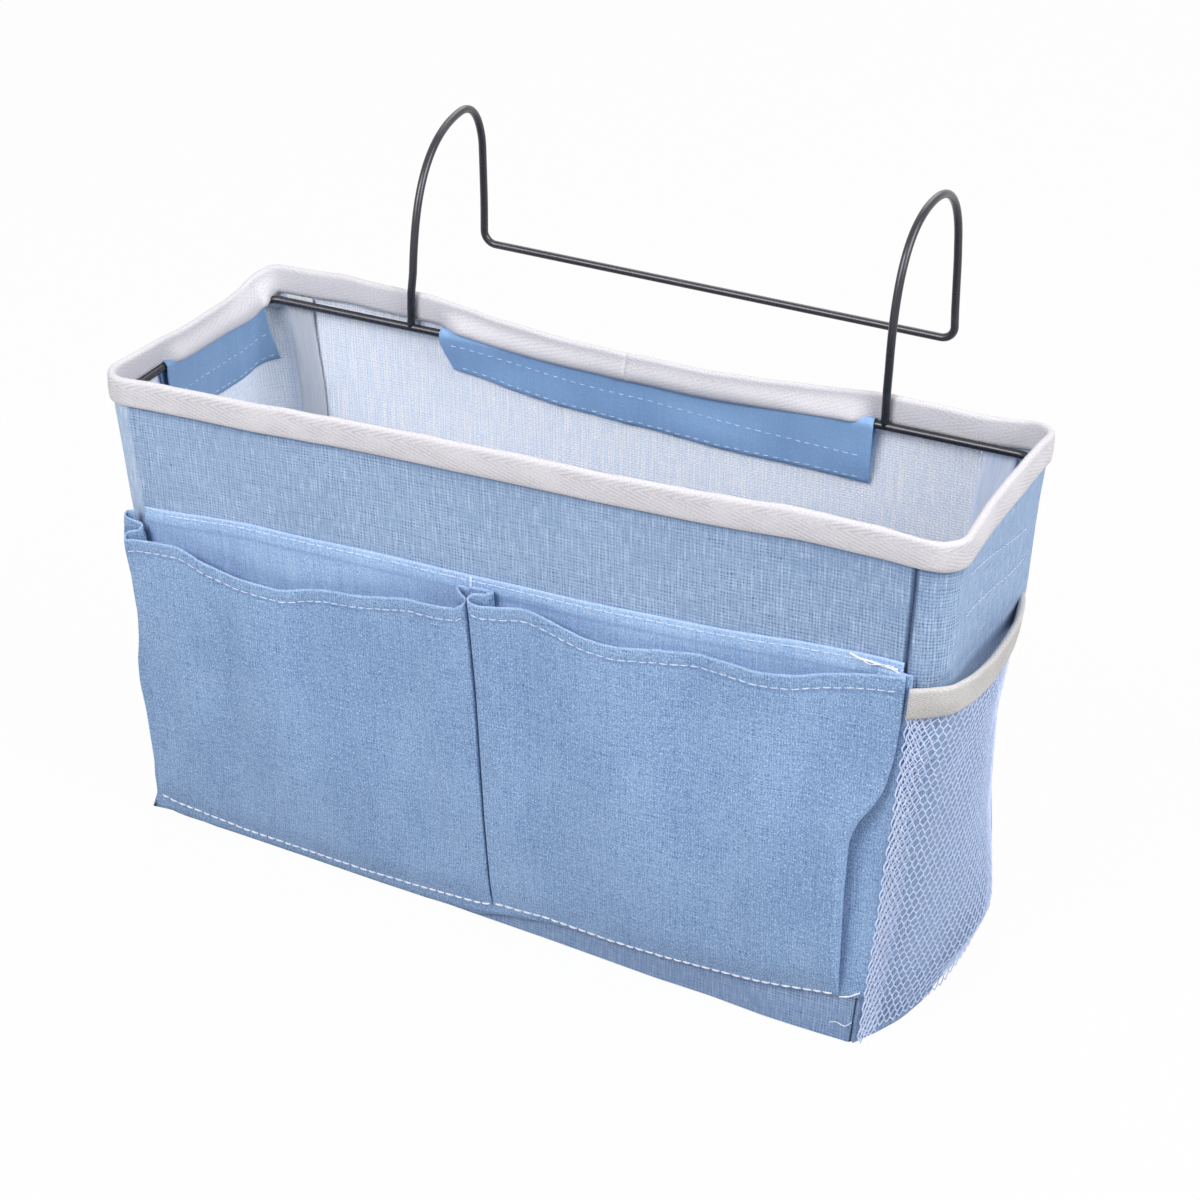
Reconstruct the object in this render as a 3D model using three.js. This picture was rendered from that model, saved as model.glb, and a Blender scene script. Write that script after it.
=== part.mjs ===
import * as THREE from 'three';

// Bedside caddy: a sewn cloth box on a rectangular wire ring, hung by a bent wire hanger.
// Millimetres, +Z up, +X to the right, -Y the front, +Y the side that hangs against the bed.
// The origin lies on the underside of the base, below the middle of the wire ring.

// Wire ring inside the rim, measured along its centre line
const ringWidth = 358;
const ringDepth = 115;
const ringCornerRadius = 10;
const ringHeight = 212;
const wireDiameter = 3.3;

// Hanger wire: two hooks joined by a crossbar behind them, a little right of the ring's middle
const hookSpacing = 218;
const hookOffset = 4.5;
const hookReach = 75;
const rearLegSpread = 3.6;
const crossbarRise = 8;
const crossbarBendRadius = 6;
const leftHookHeight = 79;
const leftRearLegHeight = 54;
const rightHookHeight = 82;
const rightRearLegHeight = 40;
const leftHook = { side: -1, apexHeight: leftHookHeight, rearTopHeight: leftRearLegHeight,
  apexShare: 0.73, shoulderShare: 0.107 };
const rightHook = { side: 1, apexHeight: rightHookHeight, rearTopHeight: rightRearLegHeight,
  apexShare: 0.56, shoulderShare: 0.04 };
const legRiseShare = 0.3;
const apexPullShare = 0.55;
const rearPullShare = 0.75;

// Cloth box, with its rim above the ring
const rimRise = 16;
const baseWidth = 357;
const baseDepth = 118;
const baseCornerRadius = 20;
const backSeamInset = 8;
const clothThickness = 1;
const clearance = 0.3;

// Tapes and sleeves
const bindingThickness = 1;
const bindingDrop = 12;
const bindingRounding = 0.7;
const sleeveThickness = 1;
const sleeveDrop = 24;
const backSleeveLeft = 91.5;
const backSleeveRight = 109;
const endSleeveLength = 78;
const seamTapeWidth = 13;
const seamTapeThickness = 0.8;

// Front pockets
const backingTop = 170;
const pocketMouth = 159;
const pocketBottom = 8;
const pocketDivide = -12.5;
const pocketEdge = 1.5;
const pleatDepth = 10;
const pleatOpening = 2.4;
const pocketBulge = 5;

// Net pockets on the two ends
const netTop = 168;
const netBottom = 8;
const netThickness = 1;
const netBulge = 7.5;
const netCordWidth = 2.4;
const netRimWidth = 3;
const netTapeThickness = 0.8;
const netTapeDrop = 12;
const netBackInset = 6;
const netShoulderShare = 0.2;
const netColumns = 9;
const netRows = 9;
const netPeakShare = 0.16;

// Facets
const wireSides = 10;
const cornerSteps = 5;
const hookSteps = 11;
const rearSteps = 8;
const bendSteps = 4;
const pocketSteps = 10;
const pocketLevels = 5;
const foldSteps = 4;

// Values that follow from the sizes above
const wireRadius = wireDiameter / 2;
const wireToWall = wireRadius + clearance + sleeveThickness + clearance;
const wallHalfWidth = ringWidth / 2 + wireToWall + clothThickness;
const wallHalfDepth = ringDepth / 2 + wireToWall + clothThickness;
const rimCornerRadius = ringCornerRadius + wireToWall + clothThickness;
const bodyHeight = ringHeight + rimRise;
const wallBottom = clothThickness + clearance;
const wallTop = bodyHeight - bindingThickness - clearance;
const bindingBottom = bodyHeight - bindingDrop;

const blueCloth = new THREE.MeshStandardMaterial({ color: 0x86a8d6, roughness: 0.92, metalness: 0 });
const pocketCloth = new THREE.MeshStandardMaterial({ color: 0x7c9fcc, roughness: 0.92, metalness: 0 });
const whiteTape = new THREE.MeshStandardMaterial({ color: 0xe6e1dd, roughness: 0.9, metalness: 0 });
const greyTape = new THREE.MeshStandardMaterial({ color: 0x9ba6b6, roughness: 0.9, metalness: 0 });
const netCord = new THREE.MeshStandardMaterial({ color: 0xc3cdea, roughness: 0.8, metalness: 0 });
const darkWire = new THREE.MeshStandardMaterial({ color: 0x3c3c42, roughness: 0.45, metalness: 0.6 });

const lerp = THREE.MathUtils.lerp;
const caddy = new THREE.Group();

function addPiece(name, geometry, material) {
  geometry.computeVertexNormals();
  const mesh = new THREE.Mesh(geometry, material);
  mesh.name = name;
  caddy.add(mesh);
  return mesh;
}

function indexedGeometry(points, triangles) {
  const geometry = new THREE.BufferGeometry();
  const flat = points.flatMap((p) => [p.x, p.y, p.z]);
  geometry.setAttribute('position', new THREE.Float32BufferAttribute(flat, 3));
  geometry.setIndex(triangles);
  return geometry;
}

// Closed sheet between an outer and an inner grid of points, given row by row from the bottom,
// each row running anticlockwise seen from above
function sheetGeometry(outer, inner) {
  const rows = outer.length;
  const columns = outer[0].length;
  const points = [...outer.flat(), ...inner.flat()];
  const at = (row, column, layer) => layer * rows * columns + row * columns + column;
  const triangles = [];
  const quad = (a, b, c, d) => triangles.push(a, b, c, a, c, d);
  for (let r = 0; r < rows - 1; r++) {
    for (let c = 0; c < columns - 1; c++) {
      quad(at(r, c, 0), at(r, c + 1, 0), at(r + 1, c + 1, 0), at(r + 1, c, 0));
      quad(at(r, c, 1), at(r + 1, c, 1), at(r + 1, c + 1, 1), at(r, c + 1, 1));
    }
    quad(at(r, 0, 1), at(r, 0, 0), at(r + 1, 0, 0), at(r + 1, 0, 1));
    quad(at(r, columns - 1, 0), at(r, columns - 1, 1), at(r + 1, columns - 1, 1), at(r + 1, columns - 1, 0));
  }
  for (let c = 0; c < columns - 1; c++) {
    quad(at(0, c, 1), at(0, c + 1, 1), at(0, c + 1, 0), at(0, c, 0));
    quad(at(rows - 1, c, 0), at(rows - 1, c + 1, 0), at(rows - 1, c + 1, 1), at(rows - 1, c, 1));
  }
  return indexedGeometry(points, triangles);
}

// Solid made of rings of points: each ring is one closed section, and the sections
// follow each other along the piece, either round a loop or between two flat ends
function lacedGeometry(rings, isLoop) {
  const count = rings[0].length;
  const points = rings.flat();
  const triangles = [];
  const last = isLoop ? rings.length : rings.length - 1;
  for (let i = 0; i < last; i++) {
    const here = i * count;
    const next = ((i + 1) % rings.length) * count;
    for (let k = 0; k < count; k++) {
      const k2 = (k + 1) % count;
      triangles.push(here + k, next + k, next + k2, here + k, next + k2, here + k2);
    }
  }
  return { points, triangles, count };
}

// Round wire along a list of points, with flat ends unless the path is a loop
function wireGeometry(path, isLoop) {
  const rings = [];
  let normal = new THREE.Vector3(1, 0, 0);
  path.forEach((point, i) => {
    const before = isLoop ? path[(i + path.length - 1) % path.length] : path[Math.max(i - 1, 0)];
    const after = isLoop ? path[(i + 1) % path.length] : path[Math.min(i + 1, path.length - 1)];
    const into = point.clone().sub(before).normalize();
    const away = after.clone().sub(point).normalize();
    const tangent = into.add(away).normalize();
    if (i === 0 && Math.abs(tangent.x) > Math.abs(tangent.z)) normal = new THREE.Vector3(0, 0, 1);
    normal = normal.clone().addScaledVector(tangent, -normal.dot(tangent)).normalize();
    const binormal = new THREE.Vector3().crossVectors(tangent, normal);
    const ring = [];
    for (let k = 0; k < wireSides; k++) {
      const turn = (2 * Math.PI * k) / wireSides;
      ring.push(point.clone()
        .addScaledVector(normal, wireRadius * Math.cos(turn))
        .addScaledVector(binormal, -wireRadius * Math.sin(turn)));
    }
    rings.push(ring);
  });
  const { points, triangles, count } = lacedGeometry(rings, isLoop);
  if (!isLoop) {
    const end = points.length - count;
    for (let k = 1; k < count - 1; k++) {
      triangles.push(0, k, k + 1, end, end + k + 1, end + k);
    }
  }
  return indexedGeometry(points, triangles);
}

// Outline of the cloth box at a height: the walls stand upright above the ring and draw in
// below it towards the base, and the back stays upright all the way down
function outlineAt(height) {
  const up = Math.min(height / ringHeight, 1);
  const halfWidth = lerp(baseWidth / 2, wallHalfWidth, up);
  const depth = lerp(baseDepth, 2 * wallHalfDepth, up);
  const corner = lerp(baseCornerRadius, rimCornerRadius, up);
  const flatHalfWidth = halfWidth - corner;
  const flatDepth = depth - 2 * corner;
  const cornerLength = (corner * Math.PI) / 2;
  const frontSeam = flatHalfWidth;
  const backSeam = frontSeam + 2 * cornerLength + flatDepth + backSeamInset;
  return { halfWidth, depth, corner, flatHalfWidth, flatDepth, cornerLength, frontSeam, backSeam };
}

// Point of the box at a height, a distance along its outline from the middle of the front
// (positive to the right) and a distance out from the outer face of the cloth
function wallPoint(height, along, out) {
  const o = outlineAt(height);
  const side = along < 0 ? -1 : 1;
  const front = wallHalfDepth - o.depth;
  let left = Math.abs(along) - o.flatHalfWidth;
  let x;
  let y;
  if (left <= 0) {
    x = Math.abs(along);
    y = front - out;
  } else if (left <= o.cornerLength) {
    const turn = left / o.corner;
    x = o.flatHalfWidth + (o.corner + out) * Math.sin(turn);
    y = front + o.corner - (o.corner + out) * Math.cos(turn);
  } else if (left <= o.cornerLength + o.flatDepth) {
    left -= o.cornerLength;
    x = o.halfWidth + out;
    y = front + o.corner + left;
  } else if (left <= 2 * o.cornerLength + o.flatDepth) {
    const turn = (left - o.cornerLength - o.flatDepth) / o.corner;
    x = o.flatHalfWidth + (o.corner + out) * Math.cos(turn);
    y = wallHalfDepth - o.corner + (o.corner + out) * Math.sin(turn);
  } else {
    left -= 2 * o.cornerLength + o.flatDepth;
    x = o.flatHalfWidth - left;
    y = wallHalfDepth + out;
  }
  return new THREE.Vector3(side * x, y, height);
}

// Places along an end wall from its front seam round both corners to its back seam, which lies
// a little way along the back, with a margin at each
function endPlaces(height, margin) {
  const o = outlineAt(height);
  const places = [];
  for (let k = 0; k <= cornerSteps; k++) {
    places.push(o.frontSeam + (o.cornerLength * k) / cornerSteps);
  }
  for (let k = 0; k <= cornerSteps; k++) {
    places.push(o.frontSeam + o.cornerLength + o.flatDepth + (o.cornerLength * k) / cornerSteps);
  }
  places.push(o.backSeam);
  places[0] += margin;
  places[places.length - 1] -= margin;
  return places;
}

// Places to the left of the middle are the same ones with the sign changed, in reverse order
function mirrored(places) {
  return places.map((place) => -place).reverse();
}

function clothSheet(heights, placesAt, outside, inside) {
  const rowAt = (out) => heights.map((h) => placesAt(h).map((along) => wallPoint(h, along, out)));
  return sheetGeometry(rowAt(outside), rowAt(inside));
}

// Wire ring
function ringPath() {
  const path = [];
  for (let corner = 0; corner < 4; corner++) {
    const sideX = corner === 0 || corner === 3 ? 1 : -1;
    const sideY = corner < 2 ? 1 : -1;
    const centreX = sideX * (ringWidth / 2 - ringCornerRadius);
    const centreY = sideY * (ringDepth / 2 - ringCornerRadius);
    for (let k = 0; k <= cornerSteps; k++) {
      const turn = (Math.PI / 2) * (corner + k / cornerSteps);
      const x = centreX + ringCornerRadius * Math.cos(turn);
      const y = centreY + ringCornerRadius * Math.sin(turn);
      path.push(new THREE.Vector3(x, y, ringHeight));
    }
  }
  return path;
}
addPiece('rim_wire_ring', wireGeometry(ringPath(), true), darkWire);

// Hanger wire: each hook rises from the ring, arches back over the rail and drops to the crossbar
function hookPath(shape) {
  const back = ringDepth / 2;
  const riser = rimRise + clearance;
  const rearX = hookSpacing / 2 + rearLegSpread;
  const place = (reach, height) => {
    const x = lerp(hookSpacing / 2, rearX, reach / hookReach);
    return new THREE.Vector3(hookOffset + shape.side * x, back + reach, ringHeight + height);
  };
  const apexReach = shape.apexShare * hookReach;
  const shoulder = shape.shoulderShare * hookReach;
  const climb = shape.apexHeight - riser;
  const drop = shape.apexHeight - shape.rearTopHeight;
  const arch = new THREE.CubicBezierCurve3(
    place(0, riser),
    place(shoulder / 2, riser + legRiseShare * climb),
    place(shoulder, shape.apexHeight),
    place(apexReach, shape.apexHeight),
  );
  const fall = new THREE.CubicBezierCurve3(
    place(apexReach, shape.apexHeight),
    place(lerp(apexReach, hookReach, apexPullShare), shape.apexHeight),
    place(hookReach, shape.rearTopHeight + rearPullShare * drop),
    place(hookReach, shape.rearTopHeight),
  );
  const path = [place(0, wireRadius + clearance)];
  path.push(...arch.getPoints(hookSteps), ...fall.getPoints(rearSteps).slice(1));
  for (let k = 0; k <= bendSteps; k++) {
    const turn = ((Math.PI / 2) * k) / bendSteps;
    const x = rearX - crossbarBendRadius * (1 - Math.cos(turn));
    const z = crossbarRise + crossbarBendRadius * (1 - Math.sin(turn));
    path.push(new THREE.Vector3(hookOffset + shape.side * x, back + hookReach, ringHeight + z));
  }
  return path;
}
const hangerPath = [...hookPath(leftHook), ...hookPath(rightHook).reverse()];
addPiece('hanger_wire', wireGeometry(hangerPath, false), darkWire);

// Cloth walls and base: flat front and back panels, and end panels that wrap round both corners
const seamMargin = clearance / 2;
const wallHeights = [wallBottom, ringHeight, wallTop];
const frontPlaces = (h) => {
  const reach = outlineAt(h).frontSeam - seamMargin;
  return [-reach, reach];
};
const backPlaces = (h) => {
  const o = outlineAt(h);
  const width = 2 * (o.flatHalfWidth - backSeamInset);
  return [o.backSeam + seamMargin, o.backSeam + width - seamMargin];
};
const rightPlaces = (h) => endPlaces(h, seamMargin);
const leftPlaces = (h) => mirrored(rightPlaces(h));
addPiece('front_wall', clothSheet(wallHeights, frontPlaces, 0, -clothThickness), blueCloth);
addPiece('back_wall', clothSheet(wallHeights, backPlaces, 0, -clothThickness), blueCloth);
addPiece('right_end_wall', clothSheet(wallHeights, rightPlaces, 0, -clothThickness), blueCloth);
addPiece('left_end_wall', clothSheet(wallHeights, leftPlaces, 0, -clothThickness), blueCloth);

function baseGeometry() {
  const outline = [...mirrored(endPlaces(0, 0)), ...endPlaces(0, 0)]
    .map((along) => wallPoint(0, along, 0))
    .map((p) => new THREE.Vector2(p.x, p.y));
  return new THREE.ExtrudeGeometry(new THREE.Shape(outline), { depth: clothThickness, bevelEnabled: false });
}
addPiece('base_panel', baseGeometry(), blueCloth);

// Rim binding: a tape folded over the top edge of the walls all round
function bindingGeometry() {
  const outer = clearance + bindingThickness;
  const inner = -clothThickness - clearance - bindingThickness;
  const section = [
    [clearance, bindingBottom],
    [outer, bindingBottom],
    [outer, bodyHeight - bindingRounding],
    [outer - bindingRounding, bodyHeight],
    [inner + bindingRounding, bodyHeight],
    [inner, bodyHeight - bindingRounding],
    [inner, bindingBottom],
    [inner + bindingThickness, bindingBottom],
    [inner + bindingThickness, wallTop + clearance],
    [clearance, wallTop + clearance],
  ];
  const places = [...mirrored(endPlaces(ringHeight, 0)), ...endPlaces(ringHeight, 0)];
  const rings = places.map((along) => section.map(([out, height]) => {
    return wallPoint(ringHeight, along, out).setZ(height);
  }));
  const { points, triangles } = lacedGeometry(rings, true);
  return indexedGeometry(points, triangles);
}
addPiece('rim_binding', bindingGeometry(), whiteTape);

// Sleeves: cloth strips folded over the ring wire and sewn to the inside of the walls.
// The section is drawn with x inward from the inner face of the wall and y upward.
function sleeveGeometry(length, wallSlope) {
  const outerRadius = wireRadius + clearance + sleeveThickness;
  const slant = wallSlope * sleeveDrop;
  const tail = 2 * sleeveThickness;
  const meet = Math.sqrt(outerRadius ** 2 - (wireToWall - clearance - tail) ** 2);
  const shape = new THREE.Shape();
  shape.moveTo(clearance + slant, ringHeight - sleeveDrop);
  shape.lineTo(clearance + tail + slant, ringHeight - sleeveDrop);
  shape.lineTo(clearance + tail, ringHeight - meet);
  const start = Math.atan2(-meet, clearance + tail - wireToWall);
  shape.absarc(wireToWall, ringHeight, outerRadius, start, Math.PI, false);
  const hole = new THREE.Path();
  hole.absarc(wireToWall, ringHeight, wireRadius + clearance, 0, 2 * Math.PI, true);
  shape.holes.push(hole);
  return new THREE.ExtrudeGeometry(shape, { depth: length, bevelEnabled: false, curveSegments: wireSides });
}
function addSleeve(name, length, wallSlope, inward, along, origin) {
  const mesh = addPiece(name, sleeveGeometry(length, wallSlope), blueCloth);
  const basis = new THREE.Matrix4().makeBasis(inward, new THREE.Vector3(0, 0, 1), along);
  mesh.quaternion.setFromRotationMatrix(basis);
  mesh.position.copy(origin);
}
const innerX = wallHalfWidth - clothThickness;
const innerY = wallHalfDepth - clothThickness;
const endSlope = (wallHalfWidth - baseWidth / 2) / ringHeight;
const sleeveEnd = ringDepth / 2 - ringCornerRadius;
const toRight = new THREE.Vector3(1, 0, 0);
const toLeft = new THREE.Vector3(-1, 0, 0);
const toBack = new THREE.Vector3(0, 1, 0);
const toFront = new THREE.Vector3(0, -1, 0);
addSleeve('back_wire_sleeve', backSleeveLeft + backSleeveRight, 0, toFront, toLeft,
  new THREE.Vector3(backSleeveRight, innerY, 0));
addSleeve('left_wire_sleeve', endSleeveLength, endSlope, toRight, toFront,
  new THREE.Vector3(-innerX, sleeveEnd, 0));
addSleeve('right_wire_sleeve', endSleeveLength, endSlope, toLeft, toBack,
  new THREE.Vector3(innerX, -sleeveEnd, 0));

// Seam tapes: strips that cover the four upright seams on the inside
const tapeHeights = [wallBottom, ringHeight, bindingBottom - clearance];
const tapeShares = [-0.5, 0, 0.25, 0.5];
function tapePlaces(seamAt, towardsEnd) {
  return (h) => tapeShares.map((share) => seamAt(h) + share * seamTapeWidth * towardsEnd)
    .sort((a, b) => a - b);
}
const frontSeamPlaces = tapePlaces((h) => outlineAt(h).frontSeam, 1);
const backSeamPlaces = tapePlaces((h) => outlineAt(h).backSeam, -1);
const tapeOutside = -clothThickness - clearance;
const tapeInside = tapeOutside - seamTapeThickness;
for (const [name, places] of [['front', frontSeamPlaces], ['back', backSeamPlaces]]) {
  const right = clothSheet(tapeHeights, places, tapeOutside, tapeInside);
  const left = clothSheet(tapeHeights, (h) => mirrored(places(h)), tapeOutside, tapeInside);
  addPiece(`${name}_seam_tape_right`, right, greyTape);
  addPiece(`${name}_seam_tape_left`, left, greyTape);
}

// Front pockets: a backing panel on the front wall, and two pleated panels sewn over it
const backingOutside = clearance + clothThickness;
const backingHeights = [pocketBottom, backingTop];
addPiece('pocket_backing', clothSheet(backingHeights, frontPlaces, backingOutside, clearance), pocketCloth);

// Section of a pocket panel at a height, as places along the front and distances out from it.
// The panel starts flat on the backing, doubles back in a pleat at each side and bulges between.
function pocketSection(height, from, to) {
  const open = (height - pocketBottom) / (pocketMouth - pocketBottom);
  const pitch = clothThickness + clearance + pleatOpening * open;
  const low = backingOutside + clearance + clothThickness / 2;
  const radius = pitch / 2;
  const section = [[from, low]];
  const fold = (x, out, facing) => {
    for (let k = 0; k <= foldSteps; k++) {
      const turn = (Math.PI * k) / foldSteps;
      section.push([x + facing * radius * Math.sin(turn), out + radius * (1 - Math.cos(turn))]);
    }
  };
  const brim = radius + clothThickness / 2;
  fold(from + pleatDepth, low, 1);
  fold(from + brim, low + pitch, -1);
  const width = to - from - 2 * brim;
  for (let k = 1; k < pocketSteps; k++) {
    const share = k / pocketSteps;
    const bulge = pocketBulge * open * Math.sin(Math.PI * share) ** 2;
    section.push([from + brim + width * share, low + 2 * pitch + bulge]);
  }
  const half = section.slice(0, 1 + 2 * (foldSteps + 1)).reverse();
  section.push(...half.map(([x, out]) => [from + to - x, out]));
  return section;
}

function pocketGeometry(edgesAt) {
  const outer = [];
  const inner = [];
  for (let level = 0; level < pocketLevels; level++) {
    const height = lerp(pocketBottom, pocketMouth, level / (pocketLevels - 1));
    const [from, to] = edgesAt(height);
    const section = pocketSection(height, from, to);
    const offset = (i, distance) => {
      const [x0, d0] = section[Math.max(i - 1, 0)];
      const [x1, d1] = section[Math.min(i + 1, section.length - 1)];
      const length = Math.hypot(x1 - x0, d1 - d0);
      const x = section[i][0] - ((d1 - d0) / length) * distance;
      const out = section[i][1] + ((x1 - x0) / length) * distance;
      return wallPoint(height, x, out);
    };
    outer.push(section.map((_, i) => offset(i, clothThickness / 2)));
    inner.push(section.map((_, i) => offset(i, -clothThickness / 2)));
  }
  return sheetGeometry(outer, inner);
}
const leftPocketEdges = (h) => [pocketEdge - outlineAt(h).frontSeam, pocketDivide - seamMargin];
const rightPocketEdges = (h) => [pocketDivide + seamMargin, outlineAt(h).frontSeam - pocketEdge];
addPiece('front_pocket_left', pocketGeometry(leftPocketEdges), pocketCloth);
addPiece('front_pocket_right', pocketGeometry(rightPocketEdges), pocketCloth);

// Net pockets: the net lies on the end wall at its foot and seams, and stands off it at the mouth
const netFold = clearance + netTapeThickness;
function netOut(height, share) {
  const rise = THREE.MathUtils.clamp((height - netBottom) / (netTop - netTapeDrop - netBottom), 0, 1);
  const edge = Math.min(share, 1 - share) / netShoulderShare;
  const swell = THREE.MathUtils.smoothstep(edge, 0, 1);
  return clearance + netThickness / 2 + rise * (netFold + netBulge * swell);
}
function netEdges(height) {
  const o = outlineAt(height);
  return [o.frontSeam + pocketEdge, o.frontSeam + o.cornerLength + o.flatDepth - netBackInset];
}
function netPoint(height, share, lift) {
  const level = Math.min(height, netTop);
  const along = lerp(...netEdges(height), share);
  return wallPoint(height, along, netOut(level, share) + lift);
}

// Net panel: rows of six-sided gaps, each row shifted by half a gap, with solid half cells
// where it is caught in the seams and a solid strip where the tape holds its mouth
function netGeometry() {
  const foot = netTop - netTapeDrop;
  const rowHeight = (foot - netBottom) / netRows;
  const peak = rowHeight * netPeakShare;
  const halves = 2 * netColumns;
  const [from, to] = netEdges(foot);
  const span = to - from;
  const gapShare = (span / netColumns - netCordWidth) / (2 * span);
  const points = [];
  const triangles = [];
  const addPair = (share, height) => {
    points.push(netPoint(height, share, netThickness / 2), netPoint(height, share, -netThickness / 2));
    return points.length - 2;
  };
  const face = (a, b, c) => triangles.push(a, b, c, a + 1, c + 1, b + 1);
  const wall = (a, b) => triangles.push(a, a + 1, b + 1, a, b + 1, b);
  const corners = [];
  for (let row = 0; row <= netRows; row++) {
    corners.push([]);
    for (let half = 0; half <= halves; half++) {
      const inside = row > 0 && row < netRows && half > 0 && half < halves;
      const shift = inside ? ((half + row) % 2 === 0 ? peak : -peak) : 0;
      corners[row].push(addPair(half / halves, netBottom + rowHeight * row + shift));
    }
  }
  for (let row = 0; row < netRows; row++) {
    const below = corners[row];
    const above = corners[row + 1];
    const bottom = netBottom + rowHeight * row;
    const low = bottom + (row === 0 ? netRimWidth : netCordWidth / 2 - peak);
    const high = bottom + rowHeight - (row === netRows - 1 ? netRimWidth : netCordWidth / 2 - peak);
    const sideLow = bottom + peak + netCordWidth / 2;
    const sideHigh = bottom + rowHeight - peak - netCordWidth / 2;
    for (let start = row % 2; start + 2 <= halves; start += 2) {
      const middle = (start + 1) / halves;
      const rim = [below[start], below[start + 1], below[start + 2],
        above[start + 2], above[start + 1], above[start]];
      const gap = [
        addPair(middle - gapShare, sideLow), addPair(middle, low), addPair(middle + gapShare, sideLow),
        addPair(middle + gapShare, sideHigh), addPair(middle, high), addPair(middle - gapShare, sideHigh),
      ];
      gap.forEach((here, k) => {
        const next = (k + 1) % gap.length;
        face(rim[k], rim[next], gap[next]);
        face(rim[k], gap[next], here);
        wall(gap[next], here);
      });
    }
    if (row % 2 === 1) {
      for (const half of [0, halves - 1]) {
        face(below[half], below[half + 1], above[half + 1]);
        face(below[half], above[half + 1], above[half]);
      }
    }
    wall(above[0], below[0]);
    wall(below[halves], above[halves]);
  }
  const top = corners[netRows].map((_, half) => addPair(half / halves, netTop));
  const hem = corners[netRows];
  for (let half = 0; half < halves; half++) {
    face(hem[half], hem[half + 1], top[half + 1]);
    face(hem[half], top[half + 1], top[half]);
    wall(corners[0][half], corners[0][half + 1]);
    wall(top[half + 1], top[half]);
  }
  wall(top[0], hem[0]);
  wall(hem[halves], top[halves]);
  return indexedGeometry(points, triangles);
}

// Tape folded over the mouth of a net pocket
function netTapeGeometry() {
  const reach = netThickness / 2 + clearance;
  const foot = netTop - netTapeDrop;
  const crown = netTop + clearance;
  const section = [
    [reach, foot], [reach + netTapeThickness, foot], [reach + netTapeThickness, crown + netTapeThickness],
    [-reach - netTapeThickness, crown + netTapeThickness], [-reach - netTapeThickness, foot],
    [-reach, foot], [-reach, crown], [reach, crown],
  ];
  const rings = [];
  const steps = 2 * netColumns;
  for (let k = 0; k <= steps; k++) {
    rings.push(section.map(([lift, height]) => netPoint(height, k / steps, lift)));
  }
  const { points, triangles } = lacedGeometry(rings, false);
  const strip = [[0, 1, 2], [0, 2, 7], [2, 3, 7], [3, 6, 7], [3, 4, 6], [4, 5, 6]];
  const end = points.length - section.length;
  for (const [a, b, c] of strip) triangles.push(a, b, c, end + a, end + c, end + b);
  return indexedGeometry(points, triangles);
}

// The left end mirrors the right one
function mirroredGeometry(geometry) {
  const copy = geometry.clone().scale(-1, 1, 1);
  const index = copy.getIndex();
  for (let i = 0; i < index.count; i += 3) {
    const second = index.getX(i + 1);
    index.setX(i + 1, index.getX(i + 2));
    index.setX(i + 2, second);
  }
  return copy;
}
addPiece('right_mesh_net', netGeometry(), netCord);
addPiece('right_net_binding', netTapeGeometry(), whiteTape);
addPiece('left_mesh_net', mirroredGeometry(netGeometry()), netCord);
addPiece('left_net_binding', mirroredGeometry(netTapeGeometry()), whiteTape);

export default caddy;
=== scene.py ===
"""The looks of the bedside caddy: sewn linen-like cloth on a wire ring, with pockets, nets and hooks.

Lengths are worked out in millimetres, as in the part's own source, and turned into metres when a mesh
is made. The cloth is laid out on the same even box as the solids, and settle() then lets it sag.
"""
import math
from types import SimpleNamespace

import bpy
import numpy as np
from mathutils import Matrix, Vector


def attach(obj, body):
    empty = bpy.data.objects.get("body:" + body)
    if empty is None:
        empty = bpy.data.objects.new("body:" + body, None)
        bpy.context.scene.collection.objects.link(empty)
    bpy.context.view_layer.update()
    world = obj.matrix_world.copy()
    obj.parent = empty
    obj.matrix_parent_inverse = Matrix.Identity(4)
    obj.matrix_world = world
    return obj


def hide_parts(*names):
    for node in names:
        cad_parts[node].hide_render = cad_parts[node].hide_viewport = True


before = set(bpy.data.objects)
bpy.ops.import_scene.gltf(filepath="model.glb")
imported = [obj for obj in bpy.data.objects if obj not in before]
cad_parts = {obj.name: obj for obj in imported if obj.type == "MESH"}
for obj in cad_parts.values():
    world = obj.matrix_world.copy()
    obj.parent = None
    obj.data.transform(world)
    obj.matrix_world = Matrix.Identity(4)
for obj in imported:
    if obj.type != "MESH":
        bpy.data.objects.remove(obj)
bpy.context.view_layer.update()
scene = bpy.context.scene
MM = 0.001

# The box, the ring and the hanger, as in the part's own source
RING_WIDTH, RING_DEPTH, RING_CORNER, RING_HEIGHT = 358, 115, 10, 212
WIRE_RADIUS = 1.75
BASE_WIDTH, BASE_DEPTH, BASE_CORNER = 357, 118, 20
HALF_WIDTH, HALF_DEPTH, RIM_CORNER = 183.25, 61.75, 14.25
WALL_FOOT, WALL_TOP = 0.5, 226.7
BACK_SEAM_INSET = 8
SEAM_TAPE_WIDTH = 13
STITCH_LIFT = 0.42  # how far the rows of stitches run above the middle of a cloth


# The shape of the sewn box

def curve(spread, *pairs):
    """A curve through places and values, given by turns, with its kinks rounded over a length."""
    places, values = pairs[0::2], pairs[1::2]
    fine = np.linspace(places[0], places[-1], 801)
    reach = max(1, int(800 * spread / (places[-1] - places[0])))
    bell = np.hanning(2 * reach + 3)[1:-1]
    padded = np.pad(np.interp(fine, places, values), reach, mode="reflect", reflect_type="odd")
    level = np.convolve(padded, bell / bell.sum(), mode="valid")
    return lambda at: np.interp(at, fine, level)


def ease(low, high, at):
    share = np.clip((at - low) / (high - low), 0, 1)
    return share * share * (3 - 2 * share)


def stacked(*parts):
    return np.stack(np.broadcast_arrays(*parts), -1)


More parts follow.
